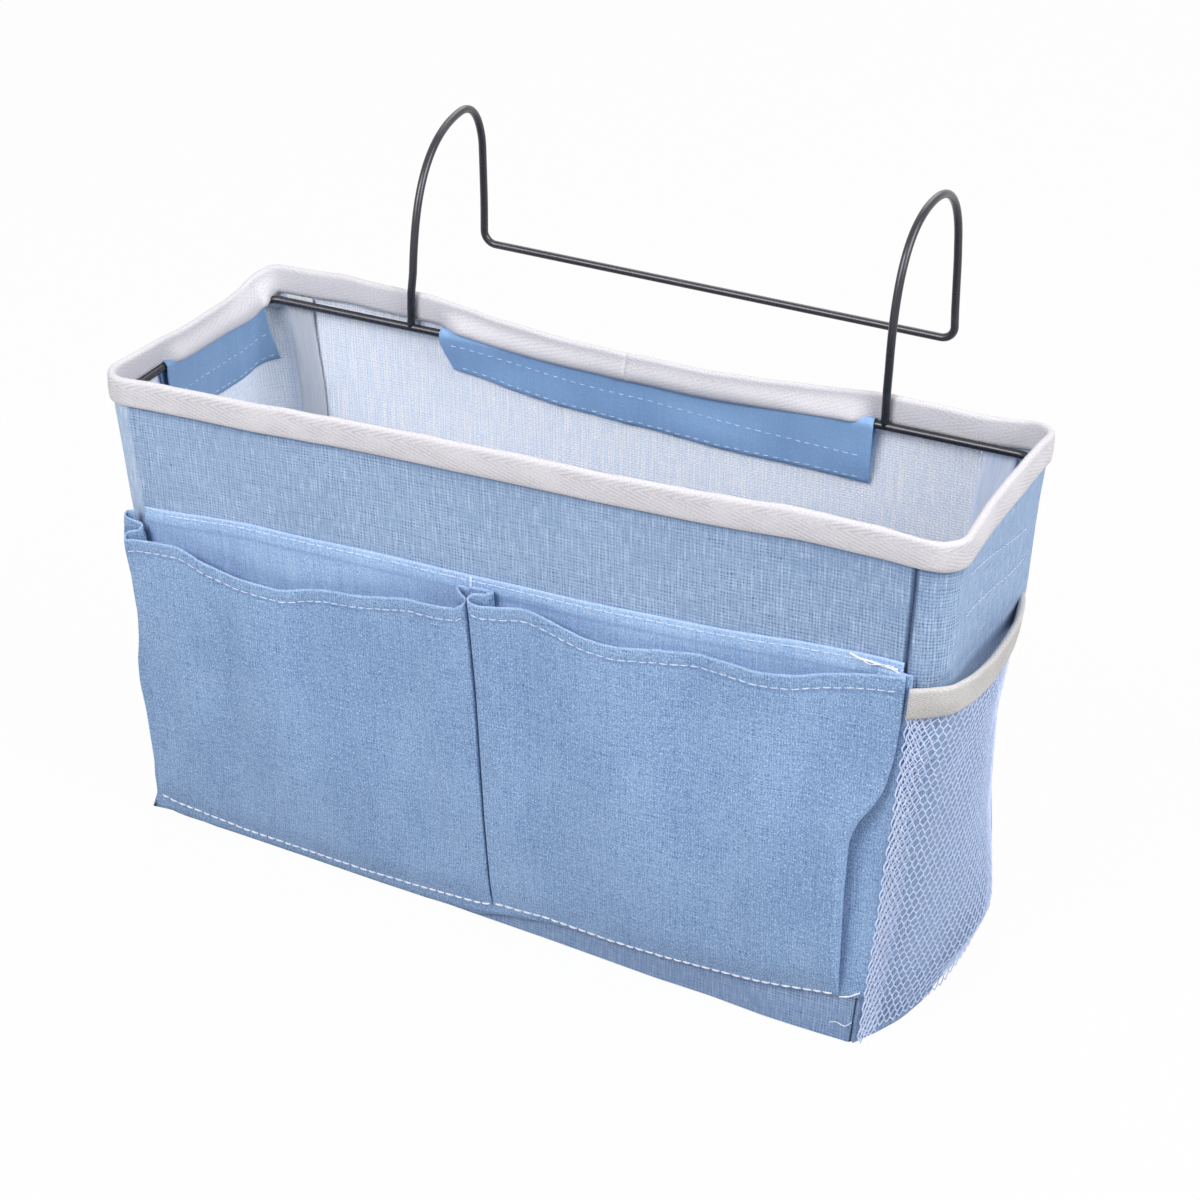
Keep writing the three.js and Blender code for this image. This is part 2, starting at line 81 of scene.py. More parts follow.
def unit(vectors):
    return vectors / np.maximum(np.linalg.norm(vectors, axis=-1, keepdims=True), 1e-9)


def run_lengths(line):
    return np.concatenate([[0], np.cumsum(np.linalg.norm(np.diff(line, axis=0), axis=1))])


def outline_at(height):
    """The even box at a height: its corners, the flat half of its front, its sides between the corners,
    its front face, and the places round it where the front corner ends, of the back seam and of the
    middle of the back."""
    up = np.minimum(np.asarray(height, float) / RING_HEIGHT, 1)
    depth = BASE_DEPTH + (2 * HALF_DEPTH - BASE_DEPTH) * up
    corner = BASE_CORNER + (RIM_CORNER - BASE_CORNER) * up
    flat = BASE_WIDTH / 2 + (HALF_WIDTH - BASE_WIDTH / 2) * up - corner
    side, arc = depth - 2 * corner, corner * math.pi / 2
    return SimpleNamespace(
        corner=corner, flat=flat, side=side, arc=arc, front=HALF_DEPTH - depth, turned=flat + arc,
        back_seam=flat + 2 * arc + side + BACK_SEAM_INSET, middle=2 * (flat + arc) + side)


def front_seam(height):
    return outline_at(height).flat


def back_seam(height):
    return outline_at(height).back_seam


def wall_point(height, along, out):
    """Points of the even box: a height, a length round it from the middle of the front, and a
    distance out from the outer face of the cloth."""
    o = outline_at(height)
    left = np.abs(along) - o.flat
    turn_back = np.clip((left - o.arc - o.side) / o.corner, 0, math.pi / 2)
    turn = np.clip(left / o.corner, 0, math.pi / 2) + turn_back
    over = np.maximum(left - 2 * o.arc - o.side, 0)
    reach = o.corner + out
    x = np.minimum(np.abs(along), o.flat) + reach * np.sin(turn) - over
    middle = np.where(turn_back > 0, HALF_DEPTH - o.corner,
                      o.front + o.corner + np.clip(left - o.arc, 0, o.side))
    return stacked(np.where(along < 0, -x, x), middle - reach * np.cos(turn), height)


def front_point(x, out, height):
    """A point in front of the front wall."""
    return stacked(x, outline_at(height).front - out, height)


def place_round(points):
    """Length round the rim, from the middle of the front, at which points of the box lie."""
    x, y = points[..., 0], points[..., 1]
    across, deep = np.abs(x) / HALF_WIDTH, np.abs(y) / HALF_DEPTH
    scale = np.maximum(np.maximum(across, deep), 1e-6)
    px, py = np.abs(x) / scale, y / scale
    length = np.where(across > deep, HALF_WIDTH + HALF_DEPTH + py,
                      np.where(y < 0, px, 2 * HALF_WIDTH + 2 * HALF_DEPTH - px))
    return np.where(x < 0, -length, length)


def facing(place):
    """The way that the box faces at a place round it."""
    turn = np.radians(np.interp(np.abs(place), [168, 199, 292, 322], [-90, 0, 0, 90]))
    return stacked(np.where(place < 0, -np.cos(turn), np.cos(turn)), np.sin(turn), 0 * place)


def random_waves(seed, count, *ranges):
    """Ripples: how fast each runs along and up, its shift and its height."""
    rng = np.random.default_rng(seed)
    return [[rng.uniform(low, high) for low, high in ranges] for _ in range(count)]


def waved(waves, along, up):
    return sum(a * np.sin(f * along + g * up + shift) for f, g, shift, a in waves)


# How the real cloth departs from the even box, by place round it (negative left of the middle of the
# front): how far its rim stands up and out, its middle stands out, and its foot lies off
rim_up = curve(
    10, -490.5, -6.2, -454, -5.6, -425, -3.4, -408, -2, -394, -0.5, -380, -0.4, -364, 0.3, -349, 0.8,
    -334, -0.6, -307, -1.2, -298, -6.2, -290, -8, -280, -7.2, -270, -6.3, -245, -5.4, -215, -2.6,
    -196, -2, -172, -1.4, -150, -0.8, -110, 0, -72, 2, -20, 3.4, 40, 4.4, 85, 5.5, 123, 8, 160, 8,
    176, 7.2, 196, 5, 230, 4.2, 270, 3.2, 295, 0, 307, -2.2, 330, -4.4, 355, -3.5, 379, -3, 392, -4,
    404, -5, 431, -6, 457, -6.4, 490.5, -6.2)
rim_out = curve(
    14, -490.5, -5, -455, -4.6, -430, -3.4, -410, -1, -395, 0, -320, 0, -307, 1, -290, -0.4, -270, -3,
    -245, -3.6, -215, -3, -196, -2, -183.5, 1, -172, 0, 160, 0.5, 176, 1.5, 183.5, 2.5, 196, 1,
    230, -0.3, 262, -0.2, 285, 0, 307, 1, 330, 0.3, 380, 0, 395, -0.6, 410, -2.5, 430, -4.4, 457, -5.4,
    490.5, -5)
middle_out = curve(
    14, -490.5, 0, -340, 0, -307, -1, -270, -2, -215, -2, -196, -1, -183.5, -1.5, -172, -1, -150, 0,
    176, 0, 183.5, -1, 196, -2, 225, -3, 250, -1.5, 272, 0, 490.5, 0)
foot_y = curve(
    5, -490.5, 0, -260, 0, -230, 2, -205, 6, -184, 8.4, -172, 7.2, -150, 6.7, -110, 4.9, -72, 2.9,
    -41, 1.6, -20, 0.3, 19, -1.8, 48, -3.7, 76, -5.6, 104, -6.4, 131, -8.6, 143, -8.9, 155, -9.1,
    171, -9, 177, -9.4, 184, -4.2, 188, -1.2, 192.5, 0.2, 198, 0.5, 204, 0, 490.5, 0)
foot_x = curve(
    5, -490.5, 0, 135, 0, 156, 0, 171, -0.5, 177, -2.4, 184, -4, 188, -5.4, 192.5, -6.8, 198, -7.3,
    203, -7.5, 208, -6.5, 213, -5, 218, -3.8, 228, -3, 262, -1, 280, 0, 490.5, 0)

# How much of that there is at each height
rim_hold = curve(6, 0, 0, 210, 0, 217, 0.4, 226, 1, 245, 1)
rim_lift = curve(10, 0, 0, 165, 0, 216, 1, 245, 1)
middle_hold = curve(8, 0, 0, 6, 0.1, 60, 1, 150, 0.6, 195, 0.3, 215, 0, 245, 0)
foot_hold = curve(14, 0, 1, 60, 0.62, 165, 0, 245, 0)
flap_hold = curve(8, 0, 1, 12, 0.55, 30, 0.3, 60, 0.15, 120, 0, 245, 0)
# The back right corner hangs in between the ring and the base
back_right = curve(8, 0, 1, 12, 0.5, 25, -0.4, 40, -1.8, 60, -4.5, 80, -6.2, 100, -6.8, 120, -6.2,
                   138, -3, 155, -0.4, 170, 0, 185, 0.2, 212, 0.8, 245, 0.9)
ripples = random_waves(41, 9, (0.02, 0.09), (-0.035, 0.035), (0, 6.28), (0.1, 0.3))


def settle(points):
    """The even box, sagged and rippled as the sewn one is."""
    z = points[..., 2]
    place = place_round(points)
    out = rim_out(place) * rim_hold(z) + middle_out(place) * middle_hold(z)
    out = out + ease(228, 276, place) * (1 - ease(300, 345, place)) * back_right(z)
    out = out + ease(0, 25, z) * (1 - 0.7 * ease(195, 225, z)) * waved(ripples, place, z)
    flap = 15 * flap_hold(z) * ease(-225, -190, place) * (1 - ease(-180, -160, place))
    return points + facing(place) * out[..., None] + stacked(
        foot_x(place) * foot_hold(z) - flap, foot_y(place) * foot_hold(z), rim_up(place) * rim_lift(z))


# Making meshes

def mesh_piece(name, points, faces, finish, lengths=None, smooth=True):
    """An object from points in millimetres. lengths are the cloth's own lengths at each point, along and
    up and then, on some, how far it is from a brim or a seam: kept in metres on the mesh, so that the
    weave follows the cloth."""
    mesh = bpy.data.meshes.new(name)
    mesh.from_pydata((np.asarray(points).reshape(-1, 3) * MM).tolist(), [], [list(f) for f in faces])
    mesh.validate()
    if lengths is not None:
        flat = np.reshape(lengths, (len(mesh.vertices), -1)) * MM
        corners = np.zeros(len(mesh.loops), np.int32)
        mesh.loops.foreach_get("vertex_index", corners)
        for layer, pair in (("cloth", [0, 1]), ("brim", [2, 2])):
            if flat.shape[1] > pair[1]:
                values = flat[corners][:, pair].astype(np.float32).ravel()
                mesh.uv_layers.new(name=layer).data.foreach_set("uv", values)
    mesh.polygons.foreach_set("use_smooth", [smooth] * len(mesh.polygons))
    mesh.materials.append(finish)
    piece = bpy.data.objects.new(name, mesh)
    scene.collection.objects.link(piece)
    return piece


def grid_faces(rows, columns, start=0):
    a = start + (np.arange(rows - 1)[:, None] * columns + np.arange(columns - 1)).ravel()
    return np.stack([a, a + 1, a + columns + 1, a + columns], -1)


def outward(grid):
    """The way that each point of a sheet faces, where its rows run up and its columns to the right."""
    return unit(np.cross(np.gradient(grid, axis=1), np.gradient(grid, axis=0)))


def thick_cloth(name, grid, lengths, thickness, finish):
    """A closed sheet about a grid of points, with rounded edges."""
    half = thickness / 2
    rows, columns = grid.shape[:2]
    count = rows * columns
    index = np.arange(count).reshape(rows, columns)
    rim = np.concatenate([index[0, :-1], index[:-1, -1], index[-1, :0:-1], index[:0:-1, 0]])
    beyond = np.zeros_like(grid)
    beyond[0] += grid[0] - grid[1]
    beyond[-1] += grid[-1] - grid[-2]
    beyond[:, 0] += unit(grid[:, 0] - grid[:, 1])
    beyond[:, -1] += unit(grid[:, -1] - grid[:, -2])
    edge = grid.reshape(-1, 3)[rim] + unit(beyond.reshape(-1, 3)[rim]) * half * 0.8
    lift = outward(grid) * half
    points = np.concatenate([(grid + lift).reshape(-1, 3), (grid - lift).reshape(-1, 3), edge])
    here, rim_after = 2 * count + np.arange(len(rim)), np.roll(rim, -1)
    after = np.roll(here, -1)
    faces = [grid_faces(rows, columns), grid_faces(rows, columns, count)[:, ::-1],
             np.stack([rim, here, after, rim_after], -1),
             np.stack([here, count + rim, count + rim_after, after], -1)]
    flat = lengths.reshape(count, -1)
    return mesh_piece(name, points, np.concatenate(faces), finish, np.concatenate([flat, flat, flat[rim]]))


def spokes(sides):
    turn = np.linspace(0, 2 * math.pi, sides, endpoint=False)
    return np.cos(turn)[None, :, None], np.sin(turn)[None, :, None]


def tube_faces(rings, sides, start=0, closed=False):
    """The faces of a tube made of rings of points: closed on itself, or with its two ends last."""
    i, k = (v.ravel() for v in np.meshgrid(np.arange(rings - (not closed)), np.arange(sides), indexing="ij"))
    j, m = (i + 1) % rings * sides, (k + 1) % sides
    faces = [*np.stack([i * sides + k, i * sides + m, j + m, j + k], -1)]
    if not closed:
        faces += [np.arange(sides)[::-1], (rings - 1) * sides + np.arange(sides)]
    return [start + face for face in faces]


def round_wire(name, path, radius, finish, closed=False, sides=24):
    path = np.asarray(path, float)
    ahead = np.roll(path, -1, 0) - path if closed else np.gradient(path, axis=0)
    behind = path - np.roll(path, 1, 0) if closed else ahead
    tangent = unit(unit(ahead) + unit(behind))
    normal = np.zeros_like(path)
    way = np.array([0, 0, 1.0]) if abs(tangent[0][2]) < 0.9 else np.array([1.0, 0, 0])
    for i, t in enumerate(tangent):
        way = way - t * way.dot(t)
        normal[i] = way = way / np.linalg.norm(way)
    cos, sin = spokes(sides)
    ring = cos * normal[:, None] + sin * np.cross(tangent, normal)[:, None]
    faces = tube_faces(len(path), sides, closed=closed)
    return mesh_piece(name, path[:, None] + radius * ring, faces, finish)


def line_at(stops, run, line):
    return np.stack([np.interp(stops, run, values) for values in line.T], -1)


def stitch_row(lines, name, finish, stitch, gap, radius, seed):
    """Rows of thread stitches. Each line is its points and the way out of the cloth at each."""
    rng = np.random.default_rng(seed)
    swell = radius * np.array([0.5, 0.9, 1, 1, 0.9, 0.5])[:, None, None]
    dip = np.array([-0.3, 0.05, 0.2, 0.2, 0.05, -0.3])[:, None]
    rings, sides = len(dip), 6
    cos, sin = spokes(sides)
    points, faces = [], []
    for line, out_way in lines:
        run = run_lengths(line)
        at = rng.uniform(0, gap)
        while at + stitch < run[-1]:
            length = stitch * rng.uniform(0.9, 1.08)
            stops = np.linspace(at, at + length, rings)
            middle, out = line_at(stops, run, line), unit(line_at(stops, run, out_way))
            across = unit(np.cross(unit(np.gradient(middle, axis=0)), out))
            middle = middle + out * dip + across * rng.normal(0, 0.06)
            faces += tube_faces(rings, sides, len(points) * rings * sides)
            points.append(middle[:, None] + swell * (cos * out[:, None] * 0.8 + sin * across[:, None]))
            at += length + gap * rng.uniform(0.7, 1.3)
    dress(mesh_piece(name, np.concatenate(points), faces, finish), "white_tape")


def line_on_cloth(grid, rows, columns):
    """A line across a sheet, just off its face, at a row of each column, which may lie between two."""
    low, mix = np.array(rows).astype(int), (np.array(rows) % 1)[:, None]
    high = np.minimum(low + 1, len(grid) - 1)
    out = outward(grid)[low, columns]
    return grid[low, columns] * (1 - mix) + grid[high, columns] * mix + out * STITCH_LIFT, out


def folded_section(middle, radius, foot, top, puff_out, puff_in):
    """The section of a tape folded over an edge, up its outside, over the top and down its inside: how
    far out each point is, its height and its length from the fold."""
    turn = np.linspace(0, math.pi, 9)[1:-1]
    puff = np.sin(np.linspace(0, math.pi, 7))
    leaf = np.linspace(foot, top, 7)
    out = np.concatenate([middle + radius + puff_out * puff, middle + radius * np.cos(turn),
                          middle - radius - puff_in * puff])
    height = np.concatenate([leaf, top + radius * np.sin(turn), leaf[::-1]])
    run = run_lengths(stacked(out, height))
    return out[:, None], height[:, None], (run[-1] / 2 - run)[:, None]


# Finishes

class Value:
    """One output of a node, on which sums can be written."""

    def __init__(self, nodes, socket):
        self.nodes, self.socket = nodes, socket

    def __add__(self, other):
        return self.nodes.maths("ADD", self, other)

    def __sub__(self, other):
        return self.nodes.maths("SUBTRACT", self, other)

    def __rsub__(self, other):
        return self.nodes.maths("SUBTRACT", other, self)

    def __mul__(self, other):
        return self.nodes.maths("MULTIPLY", self, other)

    def __truediv__(self, other):
        return self.nodes.maths("DIVIDE", self, other)

    def __abs__(self):
        return self.nodes.maths("ABSOLUTE", self)

    def fract(self):
        return self.nodes.maths("FRACT", self)

    def floor(self):
        return self.nodes.maths("FLOOR", self)

    def at_least(self, other):
        return self.nodes.maths("MAXIMUM", self, other)

    def at_most(self, other):
        return self.nodes.maths("MINIMUM", self, other)

    def output(self, key):
        return Value(self.nodes, self.socket.node.outputs[key])

    __radd__, __rmul__ = __add__, __mul__

    def between(self, low, high, start=0.0, end=1.0):
        """Eases from start to end where the value goes from low to high."""
        return self.nodes.node("ShaderNodeMapRange", {
            "Value": self, "From Min": low, "From Max": high, "To Min": start, "To Max": end},
            interpolation_type="SMOOTHSTEP")


class Nodes:
    """A node tree. node() adds any node: its settings first, then the values or links of its sockets."""

    def __init__(self, tree):
        self.tree = tree

    def node(self, kind, inputs=(), output=0, **settings):
        made = self.tree.nodes.new(kind)
        for key, value in settings.items():
            setattr(made, key, value)
        for key, value in dict(inputs).items():
            self.set(made.inputs[key], value)
        return Value(self, made.outputs[output])

    def set(self, socket, value):
        if isinstance(value, Value):
            self.tree.links.new(value.socket, socket)
        else:
            socket.default_value = (*value, 1) if socket.type == "RGBA" else value

    def maths(self, operation, *values):
        return self.node("ShaderNodeMath", enumerate(values), operation=operation)

    def seen_as_it_is(self):
        """1 for the rays that see a backdrop as it is: the camera's, and those in gloss and glass."""
        ray = self.node("ShaderNodeLightPath", output="Is Camera Ray")
        return ray.at_least(ray.output("Is Glossy Ray")).at_least(ray.output("Is Transmission Ray"))


class Finish(Nodes):
    """A material, with one method for each thing that its nodes are used for."""

    def __init__(self, name):
        self.material = bpy.data.materials.new(name)
        self.material.use_nodes = True
        super().__init__(self.material.node_tree)
        self.shader = self.tree.nodes["Principled BSDF"]

    def cloth_lengths(self):
        """The cloth's own lengths along and up, in millimetres."""
        place = self.node("ShaderNodeSeparateXYZ", {0: self.node("ShaderNodeUVMap", uv_map="cloth")})
        self.along, self.up = place * 1000, place.output(1) * 1000
        return self.along, self.up

    def from_edge(self):
        """Millimetres below the brim of a pocket, or from the seam at the front right corner."""
        return self.node("ShaderNodeSeparateXYZ", {0: self.node("ShaderNodeUVMap", uv_map="brim")}) * 1000

    def noise(self, x, y, z=0.0, detail=2.0):
        spot = self.node("ShaderNodeCombineXYZ", {0: x, 1: y, 2: z})
        return self.node("ShaderNodeTexNoise", {"Vector": spot, "Scale": 1.0, "Detail": detail})

    def patches(self, along, up, shift, low, high, start=0.0, end=1.0):
        """Blotches or streaks, as fine as the first two numbers say."""
        return self.noise(self.along * along, self.up * up, shift).between(low, high, start, end)

    def grain(self, scale, detail):
        """Fine noise in the stuff itself, for pieces with no cloth lengths."""
        spot = self.node("ShaderNodeVectorMath", {0: self.node("ShaderNodeNewGeometry"), "Scale": scale},
                         operation="SCALE")
        return self.node("ShaderNodeTexNoise", {"Vector": spot, "Scale": 1.0, "Detail": detail})

    def weave(self, pitch, slub, threads=(0.35, 0.85)):
        """Threads over and under each other, uneven as spun ones are: how near a point is to a gap
        between threads each way, the height of the cloth, and how dark the hole between threads is."""
        u, v = self.along / pitch, self.up / pitch
        u = u + (self.noise(u * 0.8, v * 0.09, 3.1, 3) - 0.5) * slub
        v = v + (self.noise(u * 0.09, v * 0.8, 7.7, 3) - 0.5) * slub
        gap_u, gap_v = abs(u.fract() - 0.5) * 2, abs(v.fract() - 0.5) * 2
        over = ((u.floor() + v.floor()) * 0.5).fract() * 2
        crown_u, crown_v = 1 - gap_u * gap_u, 1 - gap_v * gap_v
        height = over * crown_u * (0.6 + crown_v * 0.4) + (1 - over) * crown_v * (0.6 + crown_u * 0.4)
        hole = gap_u.between(*threads) * gap_v.between(*threads)
        return gap_u, gap_v, height, hole * self.noise(u * 0.55, v * 0.55, 4.4, 1).between(0.3, 0.55)

    def blend(self, share, first, second):
        return self.node("ShaderNodeMix", {0: share, 6: first, 7: second}, 2, data_type="RGBA")

    def laid_over(self, tint, *coats):
        """A colour with others over it, each by its share."""
        for share, colour in coats:
            tint = self.blend(share, tint, colour)
        return tint

    def bump(self, height, depth_mm, strength):
        return self.node("ShaderNodeBump", {"Height": height, "Distance": depth_mm * MM,
                                            "Strength": strength})

    def surface(self, tint, roughness, gloss, relief, **more):
        for key, value in dict(Base_Color=tint, Roughness=roughness, Specular_IOR_Level=gloss,
                               Normal=relief, **more).items():
            self.set(self.shader.inputs[key.replace("_", " ")], value)
        return self.material


def shade(colour):
    """A colour as seen on a screen, 0 to 255, in the light's own measure."""
    return tuple((c / 255 / 12.92) if c / 255 <= 0.04045 else ((c / 255 + 0.055) / 1.055) ** 2.4
                 for c in colour)


def mixed(first, second, share):
    return tuple(a * (1 - share) + b * share for a, b in zip(first, second))


def open_linen(name, ground, dark, pale, openness, slubs, streaks, slub=1.5, threads=(0.35, 0.85),
               left_corner=None, back_corner_glow=None):
    """The walls: an open weave with small holes between its threads and pale slubs, with painted shade
    towards the right of the front, in the front right seam, under the rim tape and near the floor.
    left_corner is the plain colour of the left end where it turns to the front; the other corner colour
    is painted glow on the right end at the back, like the painted light of the back wall."""
    f = Finish(name)
    ground, dark, pale = map(shade, (ground, dark, pale))
    along, up = f.cloth_lengths()
    gap_u, gap_v, height, hole = f.weave(1.3, slub, threads)
    patch = f.patches(0.025, 0.025, 1.3, 0.3, 0.68)
    fleck = f.patches(1.1, 0.12, 5.0, 0.46, 0.68)
    fleck_across = f.patches(0.14, 1.1, 9.0, 0.52, 0.76)
    streak = f.patches(1.2, 0.04, 6.0, 0.46, 0.6)
    lines = gap_u.between(0.6, 1).at_least(gap_v.between(0.6, 1) * 0.8) * 0.28
    tint = f.laid_over(
        mixed(ground, dark, 0.16), (patch, ground),
        # painted shade: the cloth darker towards the right of the front, fading out round the front right
        # corner
        (along.between(40, 150, 0, 0.28) * along.between(190, 172), mixed(ground, dark, 0.6)))
    # the left end's plain blue where it turns to the front, in place of its painted glow
    if left_corner:
        tint = f.blend(along.between(-197, -186), tint, shade(left_corner))
    tint = f.laid_over(
        tint, (streak * streaks, pale),
        # the slubs are the yarn's own paler colour; their extra paleness on the thread crowns is painted
        # highlight, and the holes and gaps between threads are painted shade
        ((fleck + fleck_across * 0.7).at_most(1) * slubs * (0.3 + height * 0.7), pale),
        ((hole * (0.55 + patch * 0.45)).at_least(lines), dark),
        # painted shade: darker in the tuck of the front right seam, above the foot
        (f.from_edge().between(2, 0.6) * up.between(40, 60, 0, 0.85), mixed(dark, (0, 0, 0), 0.45)),
        # painted shadow just under the rim tape, and painted shade darkening the cloth towards the floor
        (up.between(211, 215.5, 0, 0.4).at_least(up.between(34, 2, 0, 0.35)), dark))
    # painted glow: the right end turns pale towards the back, carrying on the painted light of the back wall
    if back_corner_glow:
        tint = f.blend(along.between(290, 312, 0, 0.85), tint, shade(back_corner_glow))
    return f.surface(tint, 0.94, 0.12, f.bump(height + fleck * 0.4, 0.22, 0.9), Alpha=1 - hole * openness,
                     Sheen_Weight=0.1, Sheen_Roughness=0.5)


def close_cloth(name, ground, dark, pale, contrast, relief=0.12, streaks=0.12, brim=False):
    """Pockets and sleeves: a denser weave of the same threads, with short pale dashes and, on a pocket,
    a painted highlight along its brim and a thin painted shade just below its row of hem stitches."""
    f = Finish(name)
    ground, dark, pale = map(shade, (ground, dark, pale))
    along, up = f.cloth_lengths()
    height, hole = f.weave(1.12, 2.2)[2:]
    patch = f.noise(along * 0.035, up * 0.02, 2.2, 3).between(0.32, 0.66)
    dash = f.patches(2.1, 0.8, 4.0, 0.46, 0.64)
    dull = f.patches(1.9, 1.3, 8.0, 0.5, 0.66)
    streak = f.patches(0.7, 0.03, 6.0, 0.42, 0.66)
    tint = f.laid_over(
        ground, (patch * 0.75, mixed(ground, dark, 0.4)), (streak * streaks, pale),
        # painted highlight: the dashes paler on the thread crowns; painted shade: darker in the holes between
        # threads, over the random dull blotches
        (dash * (0.25 + height * 0.55) * contrast, pale),
        ((dull * 0.5 + hole * 0.7).at_most(0.8) * contrast, dark))
    if brim:
        below = f.from_edge()
        # painted highlight along the fold of the brim, and painted shade in the dent just below the hem
        # stitches
        tint = f.laid_over(tint, (below.between(0.9, 0.2) * 0.4, pale),
                           (abs(below - 6.6).between(1.2, 0.1) * 0.3, dark))
    return f.surface(tint, 0.92, 0.12, f.bump(height + dash * 0.4 - dull * 0.3, relief, 0.8),
                     Sheen_Weight=0.1, Sheen_Roughness=0.5)


def herringbone_tape(name, light, groove, rib, apex=4.2, slope=3.0, depth=0.16):
    """White tape whose fine ribs turn along one line on each face of the fold."""
    f = Finish(name)
    light, groove = shade(light), shade(groove)
    along, across = f.cloth_lengths()
    lean = abs(abs(across) - apex) * -slope
    wobble = (f.noise(along * 0.2, across * 0.5, 2.0) - 0.5) * 0.35
    ridge = 1 - abs(((along + lean) / rib + wobble).fract() - 0.5) * 2
    twist = f.noise(along * 1.2, across * 2.4, 6.0)
    speck = f.noise(along * 0.9, across * 1.2, 12.0, 1).between(0.77, 0.81)
    strength = f.patches(0.06, 0.12, 1.0, 0.3, 0.65, 0.3, 0.9)
    strength = strength * abs(across).between(0.6, 2.2) * abs(across).between(12.2, 10.6)
    strength = strength * f.patches(1.6, 2.2, 9.0, 0.36, 0.6, 0.25, 1) * across.between(-1, 1, 0.45, 1)
    # painted shade: the grooves between the ribs are darker
    tint = f.laid_over(light, (ridge.between(0.7, 0.1) * strength, groove),
                       (twist.between(0.42, 0.66) * 0.5, groove), (speck * 0.6, shade((130, 124, 124))))
    return f.surface(tint, 0.9, 0.15, f.bump(ridge.between(0, 0.7) * strength + twist * 0.5, depth, 0.9),
                     Sheen_Weight=0.08, Sheen_Roughness=0.5)


def plain_tape(name, light, groove):
    f = Finish(name)
    f.cloth_lengths()
    height = f.weave(0.7, 0.5)[2]
    tint = f.blend(f.patches(1.5, 0.05, 2.0, 0.35, 0.7) * 0.6, shade(light), shade(groove))
    return f.surface(tint, 0.9, 0.15, f.bump(height, 0.06, 0.6))


def spun_thread(name, light, dark):
    f = Finish(name)
    grain = f.grain(900, 2.0)
    return f.surface(f.blend(grain.between(0.35, 0.7), shade(light), shade(dark)), 0.8, 0.25,
                     f.bump(grain, 0.08, 0.6))


def coated_wire(name):
    """Satin dark grey coating, a little uneven, with a few dull rubbed places."""
    f = Finish(name)
    grain, worn = f.grain(420, 4.0), f.grain(60, 2.0).between(0.55, 0.75)
    return f.surface(f.blend(worn * 0.6, shade((47, 47, 54)), shade((68, 68, 76))),
                     grain.between(0.2, 0.8, 0.24, 0.32) + worn * 0.08, 0.5, f.bump(grain, 0.008, 0.2),
                     Metallic=0.3, Coat_Weight=0.15, Coat_Roughness=0.2)


wall_cloth = open_linen(
    "open_linen_wall", (153, 178, 211), (88, 115, 160), (198, 215, 240), openness=0.2, slubs=0.6,
    streaks=0.1, back_corner_glow=(214, 226, 247))
# The back wall and the left end are painted pale: painted light, standing in for the light that shines
# through the thin weave from behind. The left end keeps the plain blue only where it turns to the front.
back_cloth_painted_glow = open_linen(
    "open_linen_back_painted_glow", (232, 240, 255), (194, 211, 242), (251, 252, 255), openness=0.8, slubs=0.8,
    streaks=0.9, slub=0.8, threads=(0.5, 0.95))
left_cloth_painted_glow = open_linen(
    "open_linen_left_end_painted_glow", (230, 238, 251), (198, 212, 235), (244, 248, 254), openness=0.2, slubs=0.5,
    streaks=0.1, left_corner=(158, 183, 215))
pocket_cloth = close_cloth(
    "pocket_linen", (139, 169, 206), (80, 112, 162), (186, 209, 240), contrast=1.15, brim=True)
# The backing is painted paler than the pockets: painted light, standing in for the light that falls into the
# pockets onto it.
backing_cloth_painted_light = close_cloth(
    "pocket_back_linen_painted_light", (157, 187, 226), (108, 143, 195), (202, 222, 247), contrast=0.9, relief=0.1,
    streaks=0.25, brim=True)
sleeve_cloth = close_cloth(
    "sleeve_linen", (148, 185, 227), (112, 151, 203), (174, 206, 239), contrast=0.45, relief=0.05)
# A darker copy of the sleeve cloth for the left sleeve: painted shade.
left_sleeve_cloth_painted_shade = close_cloth(
    "left_sleeve_linen_painted_shade", (134, 166, 203), (104, 138, 182), (160, 190, 222), contrast=0.45, relief=0.05)
RIM_RIB = 4.8017  # 199 of these go round the rim, so that the ribs meet where the tape closes
rim_tape = herringbone_tape("herringbone_tape", (217, 215, 220), (177, 173, 180), RIM_RIB)
net_tape = herringbone_tape(
    "net_mouth_tape", (205, 203, 202), (146, 142, 140), rib=3.2, apex=30, slope=3.6, depth=0.12)
grey_tape = plain_tape("grey_seam_tape", (200, 204, 211), (180, 185, 193))
pale_tape = plain_tape("pale_seam_tape", (222, 230, 246), (196, 210, 236))
net_thread = spun_thread("net_thread", (212, 223, 249), (186, 201, 234))
white_thread = spun_thread("white_thread", (240, 240, 247), (214, 218, 232))
hem_thread = spun_thread("hem_thread", (222, 229, 246), (184, 200, 228))
faint_thread = spun_thread("faint_thread", (206, 220, 240), (180, 200, 228))
wire_coating = coated_wire("satin_wire_coating")


# The stage

# Where each lamp stands, how wide it is and its power
LAMPS = {
    "soft_lamp_front": ((-0.52, -1.28, 1.4), 0.9, 27.5),
    "soft_lamp_right": ((1.5, -0.2, 1.3), 1.2, 34),
    "soft_lamp_left": ((-0.75, -0.95, 0.8), 0.3, 0.8),
    "soft_lamp_back": ((-0.3, 1.6, 1.5), 1.4, 14)}
CADDY_MIDDLE = (0, 0, 0.12)
ROOM_LIGHT = 0.16  # how brightly the white room lights the cloth
FLOOR_GLOW = 0.97  # how much of the floor shows as plain white
FLOOR_REACH, FLOOR_LEVEL = 6000, -0.0004


def aim(thing, at, target):
    thing.location = at
    thing.rotation_euler = (Vector(target) - thing.location).to_track_quat("-Z", "Y").to_euler()
    scene.collection.objects.link(thing)


